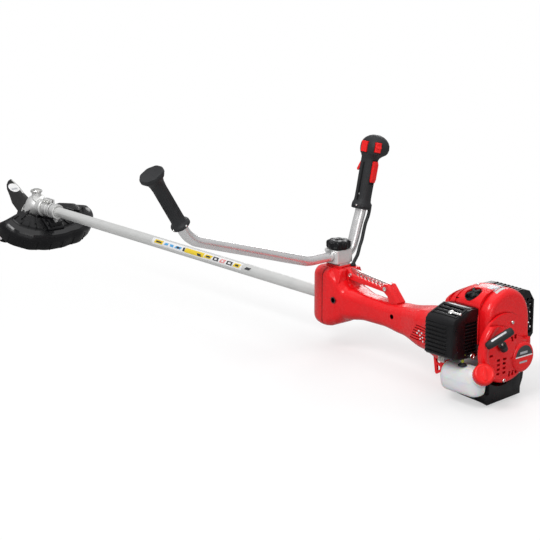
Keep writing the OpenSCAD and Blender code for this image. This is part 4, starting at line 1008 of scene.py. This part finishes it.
TANK_MID = (72, -73)
TANK_RINGS = [(-92, -13, 10, 4), (-91.2, -8, 14, 3.4), (-88.4, -4, 18, 2.6), (-84, -1.6, 21, 1.8),
    (-76, 0, 23, 0.8), (-66, 0.6, 23.5, 0), (-56, 0, 23.5, 0), (-47, -2, 22, 0), (-40, -5.6, 19, 0),
    (-35.6, -9.6, 15, 0), (-33, -14, 10, 0), (-32.2, -18, 6, 0)]


def tank_form():
    """Stack of rounded rectangles: height, growth, corner radius and shift towards the rear."""
    rings = []
    for z, grow, r, lean in TANK_RINGS:
        outline = rounded(54 + grow, 25 + grow, min(r, 25 + grow - 0.5), 8, TANK_MID)
        rings.append([(x + lean, y, z) for x, y in outline])
    return loft(rings)


finish("Fuel_Tank_Shell", tank_form(), TANK, smooth=60, stands="fuel_tank")
finish("Fuel_Tank_Sump", prism(rounded(29, 60, 8, 6, (49, -3)), "z", -91.6, -51), TANK, bevel=5,
    segments=5)
finish("Fuel_Tank_Neck",
    lathe([(-44, 20), (-30, 17.4), (-16, 16.4), (-13.4, 16.6), (-13.2, 12)], count=56), TANK, CAP,
    smooth=50)
finish("Fuel_Tank_Seam", prism(rounded(54.9, 25.9, 23.6, 8, TANK_MID), "z", -63.6, -61.8), TANK, bevel=0.7,
    segments=2)
cap_wave = lambda a, h: 1 + (0.028 * (0.5 + 0.5 * math.cos(26 * a)) if h < 5 else 0)
finish("Fuel_Cap_Knurled", lathe([(-12.6, 20.6), (-12, 22), (-10, 22.4), (2, 22.4), (4.4, 21.8),
    (6.2, 19.4), (6.8, 17.8), (6.0, 16.8), (5.8, 4), (6.6, 3)], count=156, wave=cap_wave), SATIN_RED, CAP,
    "tank_cap", smooth=50, stands="fuel_cap")
finish("Fuel_Cap_Bar", prism(rounded(15.4, 3.4, 3.2, 5), "z", 5, 8.2), SATIN_RED, CAP, "tank_cap",
    bevel=1.1)
FOOT = [(-3.7, -34), (40, -42), (100, -48), (125, -54), (119, 4), (113, 62), (-3.7, 62)]
foot = finish("Engine_Foot_Tray", prism(FOOT, "z", -115, -69), BLACK, stands="foot")
cut(foot, [lathe([(74, 82.5), (160, 82.5)], "x", count=128), block((-12, -33, -92), (80, 62, -60)),
    block((17, -99, -93), (127, -47, -60)), block((116, 32, -102), (119.5, 36, -80))], 40)
round_edges(foot, 2.4, 3, 30)
shade(foot, 40)
foot_ribs = [block((14 + 17 * i, -43, -112), (17.5 + 17 * i, -40, -95)) for i in range(5)]
finish("Engine_Foot_Ribs", joined(*foot_ribs), BLACK, bevel=0.8, segments=2)
softened("front_frame", "Front_Frame_Lattice", 1.0, SATIN_RED, rounds=3)
softened("clutch_housing", "Clutch_Housing_Casting", 1.2, BLACK, rounds=2)
finish("Fuel_Line_Grommet", lathe(
    [(-32.2, 6.4), (-31.6, 9.4), (-29.4, 9.8), (-27.6, 8), (-26, 4.4), (-24, 3.6)], centre=(80, -84, 0),
    count=40), RUBBER)
lattice = finish("Front_Frame_Lattice",
    prism([(-46, -40), (-18, -40), (-19, -76), (-23, -80), (-35, -87), (-39, -84)], "y", -43, -38), RED)
cut(lattice, [prism([(-38, -50), (-24, -54), (-24, -63), (-35, -61)], "y", -50, -30),
    prism([(-34, -65), (-24, -67.5), (-24, -74), (-33, -79)], "y", -50, -30)], 30)
finish("Foot_Side_Flare",
    prism([(58, -69.5), (74, -69.5), (72, -84), (64, -104), (58, -110)], "x", 2, 111), BLACK, bevel=1.4)
hose_run = curve_points([(80, -84, -32), (80, -84, -24), (79.6, -82, -17), (78, -76, -10)])
finish("Fuel_Hose", pipe(hose_run, 3.1), HOSE, smooth=60, stands="fuel_line")


# ---------- clamp, handlebar and controls ----------

KNOB = local_frame(ORIGIN + Vector((BAR_X * MM, 0, 0)))
knob_z0 = (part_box("knob")[0].z - ORIGIN.z) / MM
lobes = lambda a, h: 1 + (0.085 * math.cos(8 * a) if h > knob_z0 + 1 else 0)
finish("Clamp_Knob_Lobed", lathe([(knob_z0 + 0.1, 15), (knob_z0 + 0.3, 21), (knob_z0 + 1.6, 24.4),
    (knob_z0 + 4, 26), (knob_z0 + 14, 26.2), (knob_z0 + 17.4, 25), (knob_z0 + 19.4, 21.6),
    (knob_z0 + 20, 15), (knob_z0 + 19.4, 9), (knob_z0 + 16.4, 8.4)], count=128, wave=lobes), BLACK, KNOB,
    "clamp_knob", smooth=50, stands="knob")
finish("Clamp_Knob_Cap",
    lathe([(knob_z0 + 16, 8), (knob_z0 + 17.4, 7.8), (knob_z0 + 18.4, 6), (knob_z0 + 18.6, 2)], count=40),
    GLOSS_BLACK, KNOB, "clamp_knob")
softened("clamp_base", "Clamp_Base_Casting", 1.0, CAST, rounds=3)
softened("clamp_halves", "Clamp_Halves_Casting", 0.8, CAST, rounds=3)
clamp_pads = [prism(rounded(20, 21, 5, 5, (BAR_X, 0)), "z", z, z + 1.6)
              for z in (knob_z0 - 3.4, knob_z0 - 31.6)]
finish("Clamp_Pads", joined(*clamp_pads), SHEET, body="bars", bevel=0.5, segments=2)

grip_profile = [(-1, 16.4), (0, 20.4), (1.2, 21.8), (6, 21.8), (8.4, 20.4), (10.5, 17.6), (14, 16),
    (30, 15.1), (55, 14.7), (80, 14.8), (104, 15.5), (118, 16.8), (125, 18.6), (130, 22), (134, 26),
    (136.6, 27.6), (143, 27.8), (145.4, 27), (146, 25.6), (145.2, 23.6), (145, 4)]
flat_end = lambda a, h: 1 - (0.022 * math.cos(8 * a) if h > 132 else 0)
left = finish("Left_Grip_Sleeve", lathe(grip_profile, count=96, wave=flat_end), GRIP_GREY, GRIP, "bars",
    stands="left_grip")
finish("Left_Grip_Flange_Screw",
    joined(socket_screw((0, -20.4, 4), 2.8, 2.4, "y", -1), socket_screw((20.4, 0, 4), 2.8, 2.4, "x", 1)),
    ZINC, GRIP, "bars")
grip_lines = [[Vector((15.1 * math.cos(a), 15.1 * math.sin(a), z)) for z in (18, 60, 112)]
              for a in (math.radians(20 * k) for k in range(18))]
finish("Left_Grip_Lines", joined(*[pipe(line, 0.55, 8) for line in grip_lines]), GRIP_GREY, GRIP, "bars")

CONTROL_RINGS = [(0, 20.5, 20.5, 19, 0, 0), (0.8, 22, 22, 20, 0, 0), (10, 22, 22, 20, 0, 0),
    (14, 21, 20.6, 18, 0, 0), (18, 19.4, 17.6, 15, 0, 0), (26, 18.6, 16.8, 14, 0, 0),
    (48, 18.6, 16.8, 14, 0, 0), (80, 19, 17, 14, 0, 0), (100, 19, 17, 14, 0, 0), (114, 19, 17, 14, 0, 0),
    (120, 20, 18, 15, 0.6, 0.6), (125, 23.4, 21, 17, 2, 1.8), (130, 28.4, 25.4, 20, 3.6, 3.4),
    (135, 31, 27.6, 22, 4.6, 4.2), (143, 32, 28.6, 22, 5, 4.6), (152, 31.4, 28, 22, 5, 4.6),
    (159, 28.6, 25, 20, 5, 4.6), (165, 24, 20.4, 17, 5, 4.6), (170, 17, 14, 12, 5, 4.6),
    (173, 8, 7, 6, 5, 4.6)]
shell_rings = [[(x, y, z) for x, y in rounded(half_x, half_y, r, 7, (mid_x, mid_y))]
               for z, half_x, half_y, r, mid_x, mid_y in CONTROL_RINGS]
SWITCH_TURN = spin(-24)
control = finish("Control_Housing_Body", loft(shell_rings), GRIP_GREY, CONTROL, "bars",
    stands="control_housing")
cut(control, [block((-46, -6.8, 80), (-10, 6.8, 131)), block((14.6, -7.8, 59), (46, 7.8, 115)),
    moved(block((30, -6.2, 127), (60, 10.2, 158)), turn=SWITCH_TURN),
    block((-10, -50, 130.5), (10, -11.5, 157.5))], 35, CONTROL)
trim = [prism(rounded(22.4, 22.4, 20, 7), "z", 4, 5.4), block((-2, -18.4, 20), (2, -16.2, 108)),
    block((-1, 16, 20), (1, 17.6, 108))]
finish("Control_Housing_Trim", joined(*trim), BLACK, CONTROL, "bars", bevel=0.4, segments=2)
finish("Control_Screws", joined(socket_screw((-20.4, -4, 8), 2.8, 2.6, "x", -1),
    socket_screw((6, -21.4, 8), 2.6, 2.4, "y", -1), socket_screw((2, -16.4, 34), 2.2, 1.4, "y", -1)), ZINC,
    CONTROL, "bars")
for source, name in (("throttle_trigger", "Throttle_Trigger_Lever"),
                     ("lockout_lever", "Lockout_Palm_Lever"), ("stop_switch", "Stop_Switch_Slider"),
                     ("start_button", "Start_Button_Pad")):
    softened(source, name, 0.5, SATIN_RED, rounds=4)
switch_ribs = [block((37.1, -3.4, z + step * i), (38.1, 7.4, z + 1.2 + step * i))
               for z, step in ((136, 3.2), (150.4, 2.6)) for i in range(2)]
finish("Stop_Switch_Ribs", moved(joined(*switch_ribs), turn=SWITCH_TURN), SATIN_RED, CONTROL, "stop",
    bevel=0.3, segments=1)
cable_points = [(14, 85.4, 210), (14, 80.2, 187), (15, 70.5, 169), (16, 64, 152), (17.5, 57, 132),
    (19.4, 48.4, 117), (24, 38, 101), (27.4, 25.5, 89), (28, 20.4, 81), (28, 20, 68)]
cable_run = curve_points([(BAR_X + p[0], p[1], p[2]) for p in cable_points], 10)
cable = finish("Throttle_Cable_Sleeve", pipe(cable_run, 4.0, 18), RUBBER, body=None, smooth=60)
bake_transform(cable)
stands_for(cable, "cable_loop", "throttle_cable")
BAR_RUNS = {"Left": [(-8, 103), (-60, 103), (-93, 103.6), (-122, 111), (-260, 153.4), (-396, 195),
                     (-424, 206), (-444, 223), (-462, 251.6), (-524, 350)],
            "Right": [(8, 103), (26, 103.4), (38, 111), (46, 128), (59, 169), (66.6, 191), (73, 217),
                      (88, 282)]}
for word, run in BAR_RUNS.items():
    path = curve_points([(BAR_X, y, z) for y, z in run])
    finish("Handlebar_Tube_" + word, pipe(path, 12.5, 40), BAR, body="bars", smooth=60, stands="handlebar")
CORD_FROM, CORD_TO, CORD_STEPS = 4, 33, 72
cord_run = [Vector((0, 0, CORD_FROM + (CORD_TO - CORD_FROM) * i / CORD_STEPS)) for i in range(CORD_STEPS + 1)]
cord = finish("Starter_Rope_Cord", pipe(cord_run, 1.9, 12), ROPE, PULL, None, smooth=60)
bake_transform(cord)
stands_for(cord, "starter_rope")



# ---------- studio ----------

def wired(tree, kind, links, **values):
    """New node whose inputs, by name or number, are joined to other nodes' outputs."""
    n = node(tree, kind, **values)
    for key, output in links.items():
        tree.links.new(output, n.inputs[key])
    return n


floor_z = CAD_BOUNDS[0][2]
bpy.ops.mesh.primitive_plane_add(size=40, location=(0, 0, floor_z - 0.0005))
floor = bpy.context.object
floor.name = "Studio_Floor"
floor.data.materials.append(FLOOR)


def light_floor(tree):
    """The camera sees a pale floor that fades to white away from the part; bounces see a grey one."""
    surface = tree.nodes["Principled BSDF"]
    seen = node(tree, "LightPath").outputs["Is Camera Ray"]
    tone = wired(tree, "Mix", data_type="RGBA", links={0: seen})
    tone.inputs[6].default_value = (0.42, 0.42, 0.42, 1)
    tone.inputs[7].default_value = (0.94, 0.94, 0.94, 1)
    tree.links.new(tone.outputs[2], surface.inputs["Base Color"])
    place = node(tree, "TexCoord").outputs["Object"]
    away = wired(tree, "VectorMath", operation="LENGTH", links={0: place})
    fade = wired(tree, "MapRange", links={"Value": away.outputs["Value"]})
    for name, value in (("From Min", 0.5), ("From Max", 1.5), ("To Min", 0.5), ("To Max", 1.0)):
        fade.inputs[name].default_value = value
    share = wired(tree, "Math", operation="MULTIPLY", links={0: fade.outputs["Result"], 1: seen})
    glow = node(tree, "Emission", Strength=1.0)
    both = wired(tree, "MixShader",
        links={0: share.outputs["Value"], 1: surface.outputs["BSDF"], 2: glow.outputs["Emission"]})
    tree.links.new(both.outputs["Shader"], tree.nodes["Material Output"].inputs["Surface"])


light_floor(FLOOR.node_tree)


def lamp(name, at, to, size, power):
    data = bpy.data.lights.new(name, "AREA")
    data.shape = "DISK"
    data.size = size
    data.energy = power
    obj = bpy.data.objects.new(name, data)
    bpy.context.scene.collection.objects.link(obj)
    obj.location = at
    obj.rotation_euler = (Vector(to) - Vector(at)).to_track_quat("-Z", "Y").to_euler()


TARGET = Vector((-0.70108, 0.0, 0.1313))
lamp("Key", (0.4, -3.0, 3.4), TARGET, 1.8, 92)
lamp("Fill", (3.2, -1.2, 1.2), TARGET, 2.4, 24)
lamp("Top", (-0.8, 0.6, 3.6), TARGET, 4.0, 26)
lamp("Rim", (-2.6, 2.8, 1.8), TARGET, 1.4, 22)

SKY_LOW, SKY_HIGH = 0.16, 0.62


def light_world(tree):
    """Grey sky that brightens upwards for the light, and plain white for the camera."""
    up = wired(tree, "SeparateXYZ", links={0: node(tree, "TexCoord").outputs["Generated"]}).outputs["Z"]
    height = wired(tree, "MapRange", links={"Value": up})
    height.inputs["From Min"].default_value = -1.0
    sky = wired(tree, "ValToRGB", links={"Fac": height.outputs["Result"]})
    # The new stop sorts in below the white one and is then moved up to it, so only the very top is white.
    stops = sky.color_ramp.elements
    stops[0].color = (SKY_LOW, SKY_LOW, SKY_LOW * 1.01, 1)
    high = stops.new(0.5)
    high.position = 1.0
    high.color = (SKY_HIGH, SKY_HIGH, SKY_HIGH * 1.01, 1)
    camera_ray = node(tree, "LightPath").outputs["Is Camera Ray"]
    seen = wired(tree, "Mix", data_type="RGBA", links={0: camera_ray, 6: sky.outputs["Color"]})
    seen.inputs[7].default_value = (1, 1, 1, 1)
    tree.links.new(seen.outputs[2], tree.nodes["Background"].inputs["Color"])
    tree.nodes["Background"].inputs["Strength"].default_value = 1.0


world = bpy.data.worlds.new("studio")
bpy.context.scene.world = world
world.use_nodes = True
light_world(world.node_tree)
bpy.context.scene.view_settings.view_transform = "Standard"

camera_data = bpy.data.cameras.new("camera")
camera_data.lens = 122.8
camera_data.sensor_width = 36
camera_data.clip_end = 60
camera = bpy.data.objects.new("camera", camera_data)
bpy.context.scene.collection.objects.link(camera)
BACK = Vector((0.735, -0.628, 0.257)).normalized()
camera.location = TARGET + BACK * 4.4321
camera.rotation_euler = BACK.to_track_quat("Z", "Y").to_euler()
bpy.context.scene.camera = camera
